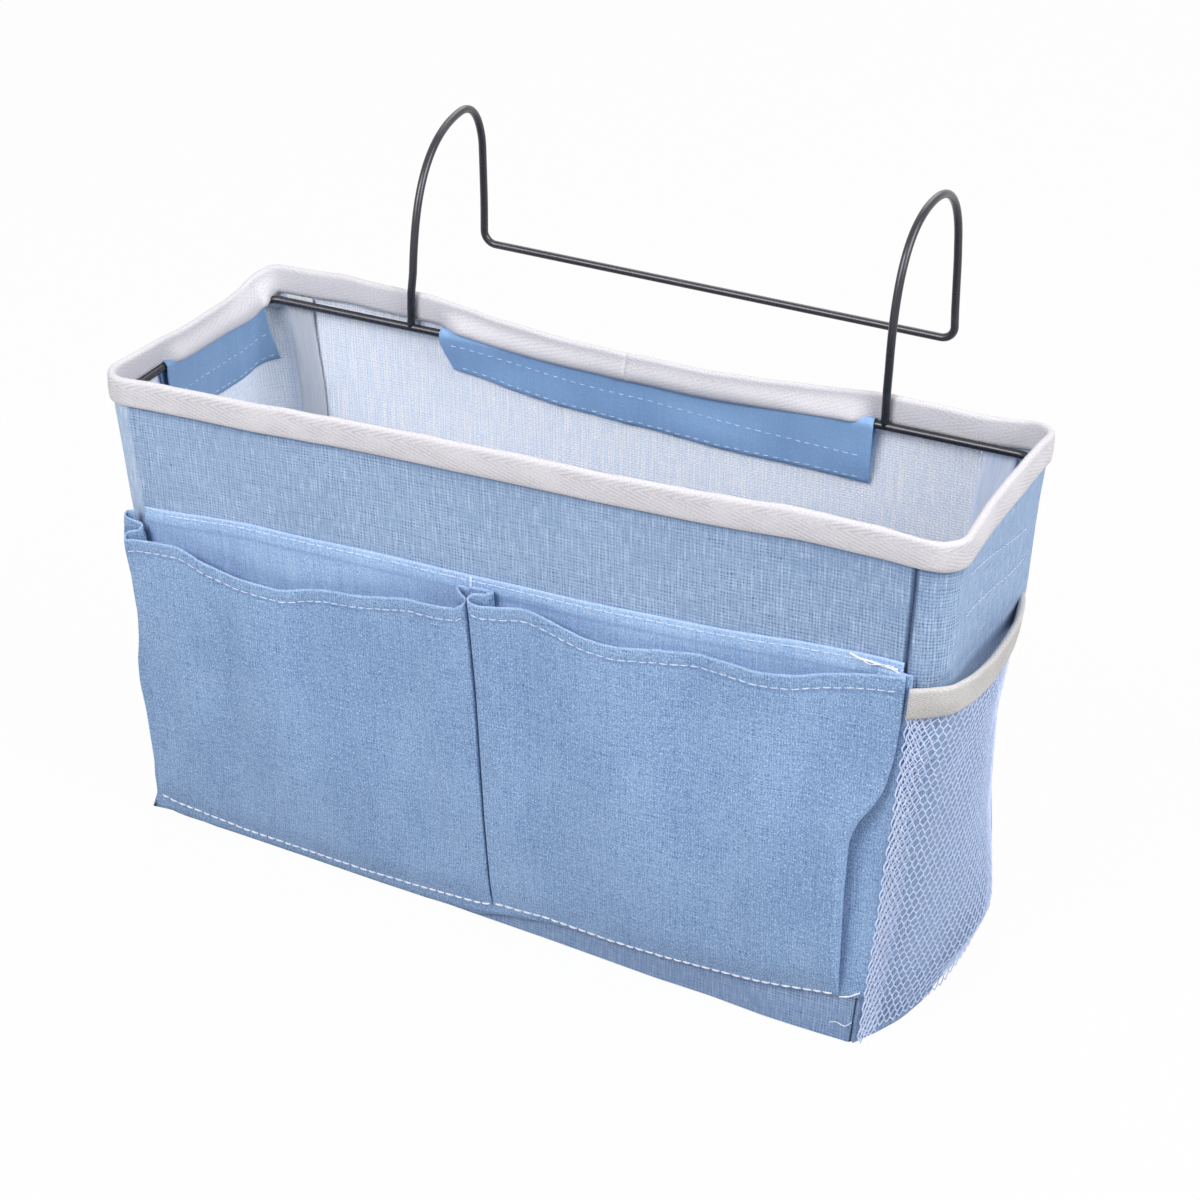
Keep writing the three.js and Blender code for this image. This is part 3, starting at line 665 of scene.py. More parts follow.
def set_the_stage():
    camera = scene.camera = bpy.data.objects.new("camera", bpy.data.cameras.new("camera"))
    aim(camera, (0.4129, -0.8343, 0.6889), (0.0168, -0.0051, 0.1392))
    camera.data.lens, camera.data.sensor_width = 78, 36
    camera.data.clip_start, camera.data.clip_end = 0.05, 30
    for name, (at, size, power) in LAMPS.items():
        lamp = bpy.data.lights.new(name, "AREA")
        lamp.shape, lamp.size, lamp.energy, lamp.color = "SQUARE", size, power, (1, 1, 1)
        aim(bpy.data.objects.new(name, lamp), at, CADDY_MIDDLE)

    world = scene.world = bpy.data.worlds.new("soft_white_room")
    world.use_nodes = True
    room = Nodes(world.node_tree)
    light = room.tree.nodes["Background"]
    room.set(light.inputs[0], (1, 1, 1))
    room.set(light.inputs[1], ROOM_LIGHT)
    backdrop = room.node("ShaderNodeBackground", {0: (1, 1, 1), 1: 1.0})
    sky = room.node("ShaderNodeMixShader", {
        0: room.seen_as_it_is(), 1: Value(room, light.outputs[0]), 2: backdrop})
    room.set(room.tree.nodes["World Output"].inputs[0], sky)

    f = Finish("white_floor")
    f.surface((0.55, 0.55, 0.55), 0.9, 0.1, f.bump(f.grain(300, 3.0), 0.02, 0.2))
    glow = f.node("ShaderNodeEmission", {"Color": (1, 1, 1), "Strength": 1.0})
    shown = f.node("ShaderNodeMixShader", {
        0: f.seen_as_it_is() * FLOOR_GLOW, 1: Value(f, f.shader.outputs[0]), 2: glow})
    f.set(f.tree.nodes["Material Output"].inputs[0], shown)
    corners = np.array([(-1, -1, 0), (1, -1, 0), (1, 1, 0), (-1, 1, 0)]) * FLOOR_REACH
    floor = mesh_piece("floor", corners, [(0, 1, 2, 3)], f.material, smooth=False)
    floor.location.z = FLOOR_LEVEL
    scene.view_settings.view_transform = "Standard"


set_the_stage()


def dress(piece, slot, *nodes):
    """The piece rides with the caddy and stands for its solids, which it hides. The slot is not used."""
    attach(piece, "root")
    if nodes:
        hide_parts(*nodes)


def sew_on(piece, slot, node, flat, held, *rests_on, **cut):
    """Dresses a sheet of cloth. The size it was cut to, how it is held, what it rests on and its cut area are
    not used.
    """
    dress(piece, slot, node)


# Ring and hanger

def ring_path():
    path = []
    for corner in range(4):
        cx = (RING_WIDTH / 2 - RING_CORNER) * (1 if corner in (0, 3) else -1)
        cy = (RING_DEPTH / 2 - RING_CORNER) * (1 if corner < 2 else -1)
        for turn in math.pi / 2 * (corner + np.arange(11) / 10):
            path.append((cx + RING_CORNER * math.cos(turn), cy + RING_CORNER * math.sin(turn), RING_HEIGHT))
    return path


def bezier(steps, *points):
    t = np.linspace(0, 1, steps + 1)[:, None]
    a, b, c, d = np.array(points, float)
    return (1 - t) ** 3 * a + 3 * (1 - t) ** 2 * t * b + 3 * (1 - t) * t * t * c + t ** 3 * d


def hook_path(side, top, rear_top, apex_share, shoulder_share, bar_rise, front_lean, rear_lean):
    """One hook, from its foot on the ring to the bend into the crossbar. The leans say how far the real
    wire is bent sideways, front leg and rear leg, by height."""
    spacing, offset, reach, spread, bend, riser = 218, 4.5, 75, 3.6, 6, 16.3
    back = RING_DEPTH / 2
    apex, shoulder = apex_share * reach, shoulder_share * reach

    def place(out, height):
        return offset + side * (spacing / 2 + spread * out / reach), back + out, RING_HEIGHT + height

    arch = bezier(30, place(0, riser), place(shoulder / 2, riser + 0.3 * (top - riser)), place(shoulder, top),
                  place(apex, top))
    fall = bezier(24, place(apex, top), place(apex + 0.55 * (reach - apex), top),
                  place(reach, rear_top + 0.75 * (top - rear_top)), place(reach, rear_top))
    path = [place(0, height) for height in (0, 2, 5, 8, 11, 14)] + [*arch, *fall[1:]]
    path += [place(reach, height) for height in np.linspace(rear_top, bar_rise + bend, 8)[1:-1]]
    for turn in math.pi / 2 * np.arange(11) / 10:
        path.append((offset + side * (spacing / 2 + spread - bend * (1 - math.cos(turn))), back + reach,
                     RING_HEIGHT + bar_rise + bend * (1 - math.sin(turn))))
    path = np.array(path, float)
    front, rear = (np.interp(path[:, 2] - RING_HEIGHT, *lean) for lean in (front_lean, rear_lean))
    share = ease(back + 10, back + reach - 10, path[:, 1])
    path[:, 0] += front * (1 - share) + rear * share
    return path


def make_wires():
    ring = round_wire("rim_ring_wire", ring_path(), WIRE_RADIUS, wire_coating, closed=True)
    dress(ring, "dark_wire", "rim_wire_ring")
    left = hook_path(
        side=-1, top=79, rear_top=54, apex_share=0.73, shoulder_share=0.107, bar_rise=10.2,
        front_lean=([0, 25, 45, 75], [0.8, 1.8, 1.2, 0.3]), rear_lean=([10, 30, 60, 79], [1, 1.4, 1.2, 0.3]))
    right = hook_path(
        side=1, top=82, rear_top=40, apex_share=0.56, shoulder_share=0.04, bar_rise=7,
        front_lean=([0, 25, 45, 75], [0.4, 0.4, 0, -0.6]), rear_lean=([7, 20, 50, 82], [0, -0.6, -1.3, -0.8]))
    hanger = round_wire("bent_hanger_wire", [*left, *right[::-1]], WIRE_RADIUS, wire_coating)
    dress(hanger, "dark_wire", "hanger_wire")


make_wires()


# Walls and base

wall_heights = np.concatenate([[WALL_FOOT], np.arange(4, WALL_TOP - 1, 3.0), [WALL_TOP]])[:, None]
edge_steps = np.array([0, 0.25, 0.55, 0.85])  # columns of points over the width of a rolled edge
SEAM_ROLL, BACK_SEAM_ROLL = 1.8, 1.3  # how wide the edges are that roll inward into the seams
PAST_SEAM = 0.2  # how far each wall runs on past its seam
HALF_BACK = 160  # about half of the back wall, of which its rolled edge is a share
FAR_OFF = 50  # a distance at which nothing of a seam shows
BACK_COUNT = 420  # the place at the middle of the back wall from which its cloth lengths are counted


def make_wall(name, node, low, high, columns, finish, rolled, width):
    """One panel of the box. Its upright edges roll inward into the seams, where rolled is 1."""
    steps = edge_steps * SEAM_ROLL / (high - low).mean()
    share = np.unique(np.concatenate([np.linspace(0, 1, columns), steps, 1 - steps]))[None]
    along = low + (high - low) * share
    from_edge = np.minimum(along - low + FAR_OFF * (1 - rolled[0]), high - along + FAR_OFF * (1 - rolled[1]))
    out = -0.3 - 1.4 * np.clip(1 - from_edge / SEAM_ROLL, 0, 1) ** 2
    lengths = stacked(along, wall_heights, np.abs(along - front_seam(wall_heights)))
    hang_wall(name, node, wall_point(wall_heights, along, out), lengths, finish, width)


def hang_wall(name, node, grid, lengths, finish, width):
    piece = mesh_piece(name, settle(grid), grid_faces(*grid.shape[:2]), finish, lengths)
    sew_on(piece, "blue_cloth", node, (width, 0.226), "hung", "rim_ring_wire")


def make_walls():
    past, front, back = PAST_SEAM, front_seam(wall_heights), back_seam(wall_heights)
    make_wall("front_wall_cloth", "front_wall", -front - past, front + past, 120, wall_cloth, (0, 1), 0.338)
    make_wall("right_end_cloth", "right_end_wall", front - past, back + past, 76, wall_cloth, (1, 1), 0.147)
    make_wall("left_end_cloth", "left_end_wall", -back - past, -front + past, 76, left_cloth_painted_glow, (1, 0), 0.147)
    half = front - BACK_SEAM_INSET + past
    steps = edge_steps * BACK_SEAM_ROLL / HALF_BACK
    across = np.unique(np.concatenate([np.linspace(1, -1, 120), 1 - steps, steps - 1]))[::-1][None]
    x = across * half
    out = -0.3 - 1.2 * np.clip(1 - (half - np.abs(x)) / BACK_SEAM_ROLL, 0, 1) ** 2
    hang_wall("back_wall_cloth", "back_wall", stacked(x, HALF_DEPTH + out, wall_heights),
              stacked(BACK_COUNT - x, wall_heights, FAR_OFF), back_cloth_painted_glow, 0.322)


def make_base():
    """Rings of the outline, drawn in towards the middle."""
    half_way = outline_at(0.0).middle
    rim = wall_point(0.0, np.linspace(-half_way, half_way, 181)[:-1], -0.4)
    shares = [1, 0.985, 0.96, 0.9, 0.8, 0.65, 0.5, 0.35, 0.2, 0.08]
    rings = [settle(rim * [share, share, 0] + [0, 0, 0.6]) for share in shares]
    points = np.concatenate([*rings, [[0, 0, 0.6]]])
    count, last = len(rim), (len(shares) - 1) * len(rim)
    faces = tube_faces(len(shares), count)[:-2]
    faces += [(last + k, last + (k + 1) % count, len(points) - 1) for k in range(count)]
    base = mesh_piece("base_cloth", points, faces, wall_cloth, points * [1, 1, 0] + [0, 0, FAR_OFF])
    sew_on(base, "blue_cloth", "base_panel", (0.357, 0.118), "laid", "front_wall_cloth")


make_walls()
make_base()


# Rim binding

ring_line = outline_at(RING_HEIGHT)


def over_sleeve(along):
    """1 where the inner side of the rim tape hangs over a sleeve, 0 elsewhere."""
    middle, side = ring_line.middle, ring_line.turned
    back = np.where(along > 0, ease(middle - 110, middle - 99, along), ease(middle - 91, middle - 78, -along))
    left = ease(side + 24, side + 36, -along) * (1 - ease(side + 106, side + 114, -along))
    return np.maximum(back, left)


def make_binding():
    """A tape folded over the rim. Its inner side hangs clear of the sleeves."""
    length = ring_line.middle
    along = np.linspace(-length, length, 521)
    out, height, across = folded_section(middle=-0.5, radius=1.35, foot=216, top=226.1, puff_out=0.25,
                                         puff_in=0.2)
    shifts = np.random.default_rng(8).uniform(0, 6, 4)
    waver = sum(a * np.sin(2 * math.pi * k * along / (2 * length) + s)
                for k, a, s in zip((9, 17, 31, 46), (0.25, 0.2, 0.15, 0.1), shifts))
    place = place_round(wall_point(RING_HEIGHT, along, 0))
    inside = (np.arange(len(out)) > len(out) - 8)[:, None]
    inner = inside * ease(225, 217, height + np.minimum(rim_up(place) + 5, 0))
    push = over_sleeve(along) * (6.1 + rim_out(place) * rim_hold(217))
    grid = wall_point(RING_HEIGHT, along, out - inner * push)
    grid[..., 2] = height + waver * 0.6 * ease(212, 222, height)
    tape = thick_cloth("rim_tape", settle(grid), stacked(along, across), 0.9, rim_tape)
    sew_on(tape, "white_tape", "rim_binding", (2 * length * MM, 2 * across[0, 0] * MM), "folded",
           "front_wall_cloth", "back_wall_cloth")


make_binding()


# Sleeves on the ring

def make_sleeve(name, node, span, slants, foot_at, inner_rows, outer_rows, flat, finish=sleeve_cloth):
    """A strip folded over the ring wire, both tails sewn to the wall. span is where it runs, slants how
    far each end is cut back at its foot, foot_at the height of its foot at each place, inner_rows how
    far above the foot its rows of stitches run, and outer_rows the height at which they show outside."""
    wire_out, radius = RING_DEPTH / 2 - HALF_DEPTH, 2.4
    wall_out, slant_from = -1.75, 208
    start, end = span
    turn = np.linspace(0, math.pi, 11)[1:-1, None]
    share = np.linspace(0, 1, 90)[None]
    fall = np.linspace(0, 1, 16)[:, None]
    foot = foot_at(start + (end - start) * share) + 0 * share
    height = np.concatenate([foot + 1 + (RING_HEIGHT - 1.5 - foot) * fall[:9] / fall[8],
                             RING_HEIGHT + radius * np.sin(turn) + 0 * share,
                             RING_HEIGHT - (RING_HEIGHT - foot) * fall])
    down = np.clip((slant_from - height) / (slant_from - foot), 0, 1)
    low, high = start + slants[0] * down, end - slants[1] * down
    along = low + (high - low) * share
    out = np.concatenate([np.linspace(wall_out, wire_out + radius, 9)[:, None],
                          wire_out + radius * np.cos(turn),
                          wire_out - radius + fall ** 1.15 * (-1.6 - wire_out + radius)])
    ripple = 0.3 * np.sin(along * 0.16 + 1) + 0.2 * np.sin(along * 0.41)
    out = out - np.abs(ripple) * ease(slant_from, 192, height) * (height > foot)
    # It is held by the ring where it runs over the wire, and by the wall below and beside it
    grid = wall_point(height, along, out)
    place = place_round(grid)
    by_wall = settle(wall_point(height - rim_up(place) * rim_lift(height), along, out))
    held = grid + (by_wall - grid) * ease(-4.5, -2, out)[..., None]
    hold = ease(192, 206, height)[..., None]
    grid = held * hold + settle(grid) * (1 - hold)
    run = run_lengths(stacked(out[:, 45], height[:, 45]))
    piece = thick_cloth(name, grid, stacked(along, run[:, None]), 0.8, finish)
    sew_on(piece, "blue_cloth", node, flat, "folded", "rim_ring_wire")

    columns = np.arange(2, share.size - 2)
    inner_tail = height[:17:-1]
    steps = np.arange(len(inner_tail))
    inside, outside = [], []
    for above, outer in zip(inner_rows, outer_rows):
        rows = [len(height) - 1 - np.interp(foot[0, c] + above, inner_tail[:, c], steps) for c in columns]
        inside.append(line_on_cloth(grid, rows, columns))
        line = settle(wall_point(outer(along[-1]), along[-1], 0.1))[columns]
        outside.append((line, facing(place_round(line))))
    return inside, outside


def make_sleeves():
    middle, side = ring_line.middle, ring_line.turned
    foot = curve(8, -115, 195.5, -84, 195.3, -72, 194.9, -53, 193, -33, 190.8, -14, 189.7, 9, 189.4,
                 50, 187.3, 86, 185.7, 110, 184.7, 118, 184.5)
    inside, outside = make_sleeve(
        "back_sleeve", "back_wire_sleeve", (middle - 109.5, middle + 88.5), (-0.5, 5),
        lambda along: foot(middle - along), (2.4, 13),
        (lambda along: foot(middle - along) + 2.4, lambda along: 203), (0.2, 0.052))
    left_in, left_out = make_sleeve(
        "left_sleeve", "left_wire_sleeve", (-side - 104, -side - 26), (-6, 4), lambda along: 183, (3, 15),
        (lambda along: 186, lambda along: 200), (0.078, 0.058), left_sleeve_cloth_painted_shade)
    right_in, right_out = make_sleeve(
        "right_sleeve", "right_wire_sleeve", (side + 4, side + 86), (2, 6), lambda along: 187, (3, 16),
        (lambda along: 191.5 - 0.144 * (along - side), lambda along: 209 - 0.19 * (along - side)),
        (0.082, 0.052))
    inside += left_in + right_in + outside + left_out
    stitch_row(inside, "sleeve_stitches", faint_thread, stitch=3.1, gap=1.3, radius=0.2, seed=3)
    stitch_row(right_out, "right_end_stitches", hem_thread, stitch=3.4, gap=0.6, radius=0.22, seed=4)


make_sleeves()


# Seam tapes inside

def make_seam_tape(wall, word, seam, side, towards, finish):
    heights = np.linspace(2, 215, 60)[:, None]
    share = np.linspace(-0.5, 0.5, 9)[None]
    sway = 0.7 * np.sin(heights * 0.09 + (1 if side > 0 else 2.4)) + 0.5 * np.sin(heights * 0.031)
    along = side * (seam(heights) + towards * (share * SEAM_TAPE_WIDTH + sway))
    if side * towards < 0:
        along = along[:, ::-1]
    out = -1.75 - 0.25 * np.abs(np.sin(share * 5 + heights * 0.05))
    piece = thick_cloth(f"{wall}_tape_{word}", settle(wall_point(heights, along, out)),
                        stacked(share * SEAM_TAPE_WIDTH, heights), 0.6, finish)
    sew_on(piece, "grey_tape", f"{wall}_seam_tape_{word}", (0.013, 0.213), "stretched", f"{wall}_wall_cloth")


for side, word, back_tape in ((1, "right", pale_tape), (-1, "left", grey_tape)):
    make_seam_tape("front", word, front_seam, side, 1, grey_tape)
    make_seam_tape("back", word, back_seam, side, -1, back_tape)


# Pockets

seam_line = curve(12, -184, 165, -178, 165.5, -157, 166.6, -114, 169.8, -13, 171.1, 44, 172.1, 86, 173.3,
                  126, 176.2, 167.5, 177.8, 175, 178)
foot_line = curve(5, -184, 6, -177, 8.4, -173, 11.4, -170.5, 11.6, -161, 9.8, -149, 7.8, -136, 6.6, -98, 6.6,
                  -71, 6.9, -36, 8.6, -14, 9.7, -6, 12.2, 17, 13.9, 51, 14.4, 70, 15.8, 104, 18, 118, 19.4,
                  131, 21.6, 146, 24, 158, 25.6, 175, 27)
POCKET_LOW, POCKET_HIGH = 4, 164  # the heights between which pleats and folds are laid out
BRIM_HEM = 5.6  # how far below a pocket's brim its row of stitches runs


def make_backing():
    share = np.concatenate([np.linspace(0, 0.93, 46), [0.945, 0.955, 0.965, 0.975, 0.985, 0.993, 1]])[:, None]
    level = np.linspace(-1, 1, 120)[None]
    x = level * 167
    top, foot = seam_line(x) + 1.4, foot_line(x) - 1
    height = foot + (top - foot) * share
    below = top - height
    out = 0.75 - 0.65 * (1 - ease(0, 2.6, below)) + 0.3 * np.exp(-((below - 4.5) / 2) ** 2)
    out = out - 0.3 * np.exp(-((below - 2) / 0.7) ** 2)
    x = level * (outline_at(height).flat - 0.6)
    grid = settle(front_point(x, out, height))
    piece = thick_cloth("pocket_backing_cloth", grid, stacked(x, height, below), 0.7, backing_cloth_painted_light)
    sew_on(piece, "pocket_cloth", "pocket_backing", (0.336, 0.165), "hung", "front_wall_cloth")
    line = settle(front_point(x[0], 0.95, seam_line(x[0]) - 0.5))[1:-1]
    return [(line, np.tile([0.0, -1, 0.1], (len(line), 1)))]


def side_folds(level, seam, out_now, folds, steps=5):
    """The flat runs and round folds at one side of a pocket, seen from above at each height. folds are
    how far along and how far out each turns, and which way."""
    section, x_now, out_now = [], seam(level), out_now + 0 * level
    for turns_at, stands_at, way in folds:
        out = stands_at(level)
        radius = (out - out_now) / 2
        centre = turns_at(level) - way * radius
        section += [(x_now + (centre - x_now) * k / steps, out_now) for k in range(steps)]
        section += [(centre + way * radius * math.sin(turn), out_now + radius * (1 - math.cos(turn)))
                    for turn in np.linspace(0, math.pi, 9)]
        x_now, out_now = centre, out
    return section, x_now, out_now


def make_pocket(name, node, left, right, mouth, left_top, right_top, belly, creases, seed, flat):
    """A pleated pocket. left and right give the seam and the folds of each side as curves of height,
    mouth the height of the brim along it, belly how far the panel stands out, and creases its soft
    upright folds: place, width, depth, and the heights between which they show."""
    share = np.concatenate([np.linspace(0, 0.9, 50), np.linspace(0.91, 1, 16)])
    level = POCKET_LOW + share * (POCKET_HIGH - POCKET_LOW)
    left_part, x0, o0 = side_folds(level, *left)
    right_part, x1, o1 = side_folds(level, *right)
    waves = random_waves(seed, 6, (0.03, 0.1), (-0.02, 0.02), (0, 6), (0.25, 0.6))
    panel = []
    for s in np.arange(1, 64) / 64:
        x = x0 + (x1 - x0) * s
        swell = math.sin(math.pi * s)
        fold = waved(waves, x, level) * min(1, swell * 2.5)
        for at, width, depth, low, high in creases:
            bend = at + 2.5 * np.sin(level * 0.03 + at)
            shown = ease(low, low + 45, level) * (1 - ease(high - 40, high, level) * 0.7)
            fold = fold + 2.4 * depth * np.exp(-((x - bend) / width) ** 2) * shown
        panel.append((x, o0 + (o1 - o0) * s + belly(s, share) * swell ** 0.8 + fold * (0.3 + 0.7 * share)))
    columns = left_part + panel + right_part[::-1]
    x, out = (np.stack([column[k] for column in columns], -1) for k in (0, 1))
    first, last = len(left_part), len(columns) - len(right_part)
    brim = mouth(x[-1])
    brim[:first] = np.interp(np.linspace(0, 1, first), *left_top)
    brim[last:] = np.interp(np.linspace(1, 0, len(right_part)), *right_top)
    hem = 1.2 + 5.3 * (1 - ease(-20, 40, x[0])) + 3 * (1 - ease(-172, -160, x[0]))
    foot = np.maximum(foot_line(x[0]) - hem, 1.8)
    hem = foot_line(x[0]) - foot
    height = foot + (brim - foot) * share[:, None]
    below, over = brim - height, height - foot - hem
    pucker = np.sin(x * 0.72 + seed) + 0.6 * np.sin(x * 1.13)
    out = out + 0.3 * (1 - ease(5.2, 6.4, below)) - 0.4 * np.exp(-((below - BRIM_HEM) / 0.8) ** 2)
    out = out + 0.13 * pucker * (np.exp(-((below - 3) / 5) ** 2) + np.exp(-((over - 4) / 5) ** 2))
    out = 1.1 + (out - 1.1) * ease(-8, 13, over) - 0.3 * np.exp(-(over / 0.9) ** 2)
    grid = settle(front_point(x, out, height))
    run = np.cumsum(np.linalg.norm(np.diff(grid, axis=1, prepend=grid[:, :1]), axis=-1), axis=1)
    lengths = stacked(run - run[:, first:first + 1] + 40 * seed, height, below)
    piece = thick_cloth(name, grid, lengths, 0.8, pocket_cloth)
    sew_on(piece, "pocket_cloth", node, flat, "gathered", "pocket_backing_cloth")
    across, rows = np.arange(first - 2, last + 2), np.arange(len(share))
    return [line_on_cloth(grid, [np.interp(at[c], height[:, c], rows) for c in across], across)
            for at in (brim - BRIM_HEM, foot + hem)]


def make_pockets():
    seam = make_backing()
    left_mouth = curve(5, -176, 153.5, -170, 154.8, -158, 156.2, -146, 157, -137, 153, -126, 150, -112, 148.7,
                       -98, 147.4, -91, 148.6, -80, 151.9, -62, 154.1, -46, 158, -37, 160.2, -24, 160.6,
                       -15, 161.6)
    right_mouth = curve(5, -12, 166, -7, 165, 0, 165.8, 12, 167.3, 20, 167, 28, 164.6, 39, 161.8, 54, 161,
                        70, 163, 87, 164.6, 101, 165.4, 114, 165.9, 129, 167.7, 149, 171.8, 160, 174,
                        169, 175.4)
    centre_gap = curve(10, 0, -8.1, 17, -8.1, 71, -8.6, 120, -9.3, 164, -11.2)

    def upright(*pairs):
        return curve(10, *pairs)

    def grow(low, high):
        return upright(0, low, 8, low, 60, low + 0.6 * (high - low), 164, high)

    left_side = (upright(0, -164, 8, -164, 164, -170), 2.0, [
        (curve(6, 0, -172.8, 8, -173.4, 25, -175.8, 60, -179, 75, -180.6, 88, -180, 98, -178, 110, -176.8,
               125, -176.2, 148, -177.8, 164, -174.6), grow(2.6, 3.6), -1),
        (upright(0, -160, 60, -160, 164, -165.5), grow(3.2, 5.6), 1),
        (curve(6, 0, -168.5, 6, -169.3, 14, -171.8, 25, -173.4, 38, -173.4, 58, -172.4, 78, -172.4, 104, -172,
               128, -173.2, 152, -172.8, 164, -173), grow(3.9, 8.2), -1)])
    left_divide = (upright(0, -13, 164, -12.6), 2.0, [
        (upright(0, -20, 164, -17), grow(2.8, 5.4), -1), (lambda h: centre_gap(h) - 0.7, grow(3.6, 8.6), 1)])
    right_divide = (upright(0, -12, 164, -12.2), 2.0, [
        (upright(0, -2, 164, -1.4), grow(2.8, 5.4), 1), (lambda h: centre_gap(h) + 0.7, grow(3.6, 8.6), -1)])
    right_side = (upright(0, 162.2, 18, 163.6, 45, 164.8, 80, 166.6, 120, 168.8, 164, 171), 1.4, [
        (upright(0, 140, 85, 141, 110, 150, 164, 158), grow(2.6, 2.6), -1),
        (curve(6, 0, 150.6, 20, 151, 58, 151, 85, 151.6, 95, 154.4, 103, 159.5, 112, 163.5, 128, 166.3,
               151, 168, 164, 168.4),
         upright(0, 4.6, 25, 7.6, 60, 9, 90, 8.8, 105, 7, 125, 4.6, 164, 3.4), 1)])
    pockets = make_pocket(
        "left_pocket", "front_pocket_left", left_side, left_divide, left_mouth,
        ([0, 0.3, 0.62, 1], [166, 163, 160, 154]), ([0, 0.45, 1], [168, 168.8, 163.4]),
        lambda s, up: -1.5 * up * ease(0.2, 0.6, s) + 2.2 * np.sin(math.pi * up),
        [(-150, 7, 0.7, 40, 170), (-128, 5.5, -1.1, 20, 150), (-90, 6, -1.1, 40, 175), (-64, 9, 0.8, 10, 120),
         (-38, 7, -0.9, 15, 140)], 5, (0.2, 0.155))
    pockets += make_pocket(
        "right_pocket", "front_pocket_right", right_divide, right_side, right_mouth,
        ([0, 0.45, 1], [168.8, 170, 166]), ([0, 0.5, 1], [176, 176, 175.6]),
        lambda s, up: -1.0 * up + 2.4 * np.sin(math.pi * up),
        [(10, 6, -1, 50, 175), (50, 9, 0.7, 10, 130), (84, 6.5, -1, 60, 175), (112, 8, 0.8, 20, 150),
         (134, 7, -1.2, 60, 170)], 11, (0.21, 0.157))
    stitch_row(seam + pockets[0::2], "hem_stitches", hem_thread, stitch=4.2, gap=0.12, radius=0.26, seed=5)
    stitch_row(pockets[1::2], "foot_stitches", white_thread, stitch=4.4, gap=0.08, radius=0.48, seed=6)


# The stitched bar at the pleat between the pockets and the frayed ends of the seams: radius, and
# along, out and up
LOOSE_THREADS = {
    "pleat_bar_stitch": (0.38, (-12.4, 0.95, 172.2), (-12.2, 1.3, 170.5), (-12.1, 1.9, 168.2)),
    "seam_end_thread": (0.45, (146, 1.4, 178.4), (150, 1.9, 177.4), (155, 2, 177.4), (160, 2, 176.8),
                        (165, 1.9, 176.9)),
    "seam_end_strand_one": (0.22, (149, 1.7, 177.8), (154, 2.5, 176.4), (160, 2.6, 177.8), (165.5, 2.3, 176)),
    "seam_end_strand_two": (0.16, (158, 2, 177.2), (163, 2.4, 178), (167, 2.2, 175.2), (166.4, 2.4, 173.4)),
    "foot_end_thread": (0.32, (152, 4.4, 25), (156, 4.6, 26.4), (160.5, 4.4, 29.6)),
    "corner_strand": (0.16, (148, 1.3, 9), (151, 2.6, 11), (155, 2.2, 9.6), (157.5, 1.4, 12))}


def make_loose_threads():
    for name, (radius, *points) in LOOSE_THREADS.items():
        points = settle(front_point(*np.array(points, float).T))
        run = run_lengths(points)
        path = line_at(np.linspace(0, run[-1], max(12, int(run[-1] * 2))), run, points)
        for _ in range(2):
            path[1:-1] = (path[:-2] + 2 * path[1:-1] + path[2:]) / 4
        dress(round_wire(name, path, radius, white_thread, sides=10), "white_tape")


make_pockets()
make_loose_threads()


# Nets

net_mouth = curve(0.05, 0, 172, 0.1, 174, 0.21, 173, 0.39, 170, 0.58, 168.3, 0.76, 165, 0.905, 162, 1, 160)

# Where the right net hangs, seen from above: x and y from its front edge to its back edge, by height
NET_PLAN = {
    6: (160.4, -67.4, 165.5, -55, 170, -46, 174, -34, 178, -18, 180.5, -2, 181, 14, 180, 30, 177.5, 41.5),
    20: (161.4, -66.6, 167, -54, 172.5, -44, 177.5, -31, 182.5, -16, 185.5, -2, 186, 14, 184, 29, 178, 41.5),
    72: (164.4, -64.6, 171, -55.5, 177, -46, 181, -33, 183.2, -18, 184, -2, 182.6, 14, 179, 29, 174.5, 41.5),
    120: (167.4, -63.6, 173, -58, 179.5, -50, 183, -37, 185, -20, 185.2, -4, 183, 13, 178.4, 29, 174, 41.5),
    150: (169.2, -63.2, 177, -60.5, 183.3, -55, 187, -42, 188.3, -24, 188, -5, 186, 14, 182.4, 30,
          179.5, 41.5),
    172: (170.4, -63.2, 178, -61.5, 184.5, -58, 188.5, -45, 190, -25, 190, -4, 188.5, 16, 186, 32, 183.5, 41)}
net_heights = list(NET_PLAN)
NET_STOPS = 61
NET_CUT = 160  # how high a net is cut
COVERED_SHARE = 0.75  # how much of its cut size the threads of a net are taken to cover


def smooth_plan(plan):
    """One line of the plan as a smooth run of points."""
    points = np.reshape(plan, (-1, 2))
    run = run_lengths(points)
    return stacked(*(curve(0.07, *stacked(run / run[-1], values).ravel())(np.linspace(0, 1, NET_STOPS))
                     for values in points.T))


net_rows = np.array([smooth_plan(plan) for plan in NET_PLAN.values()])


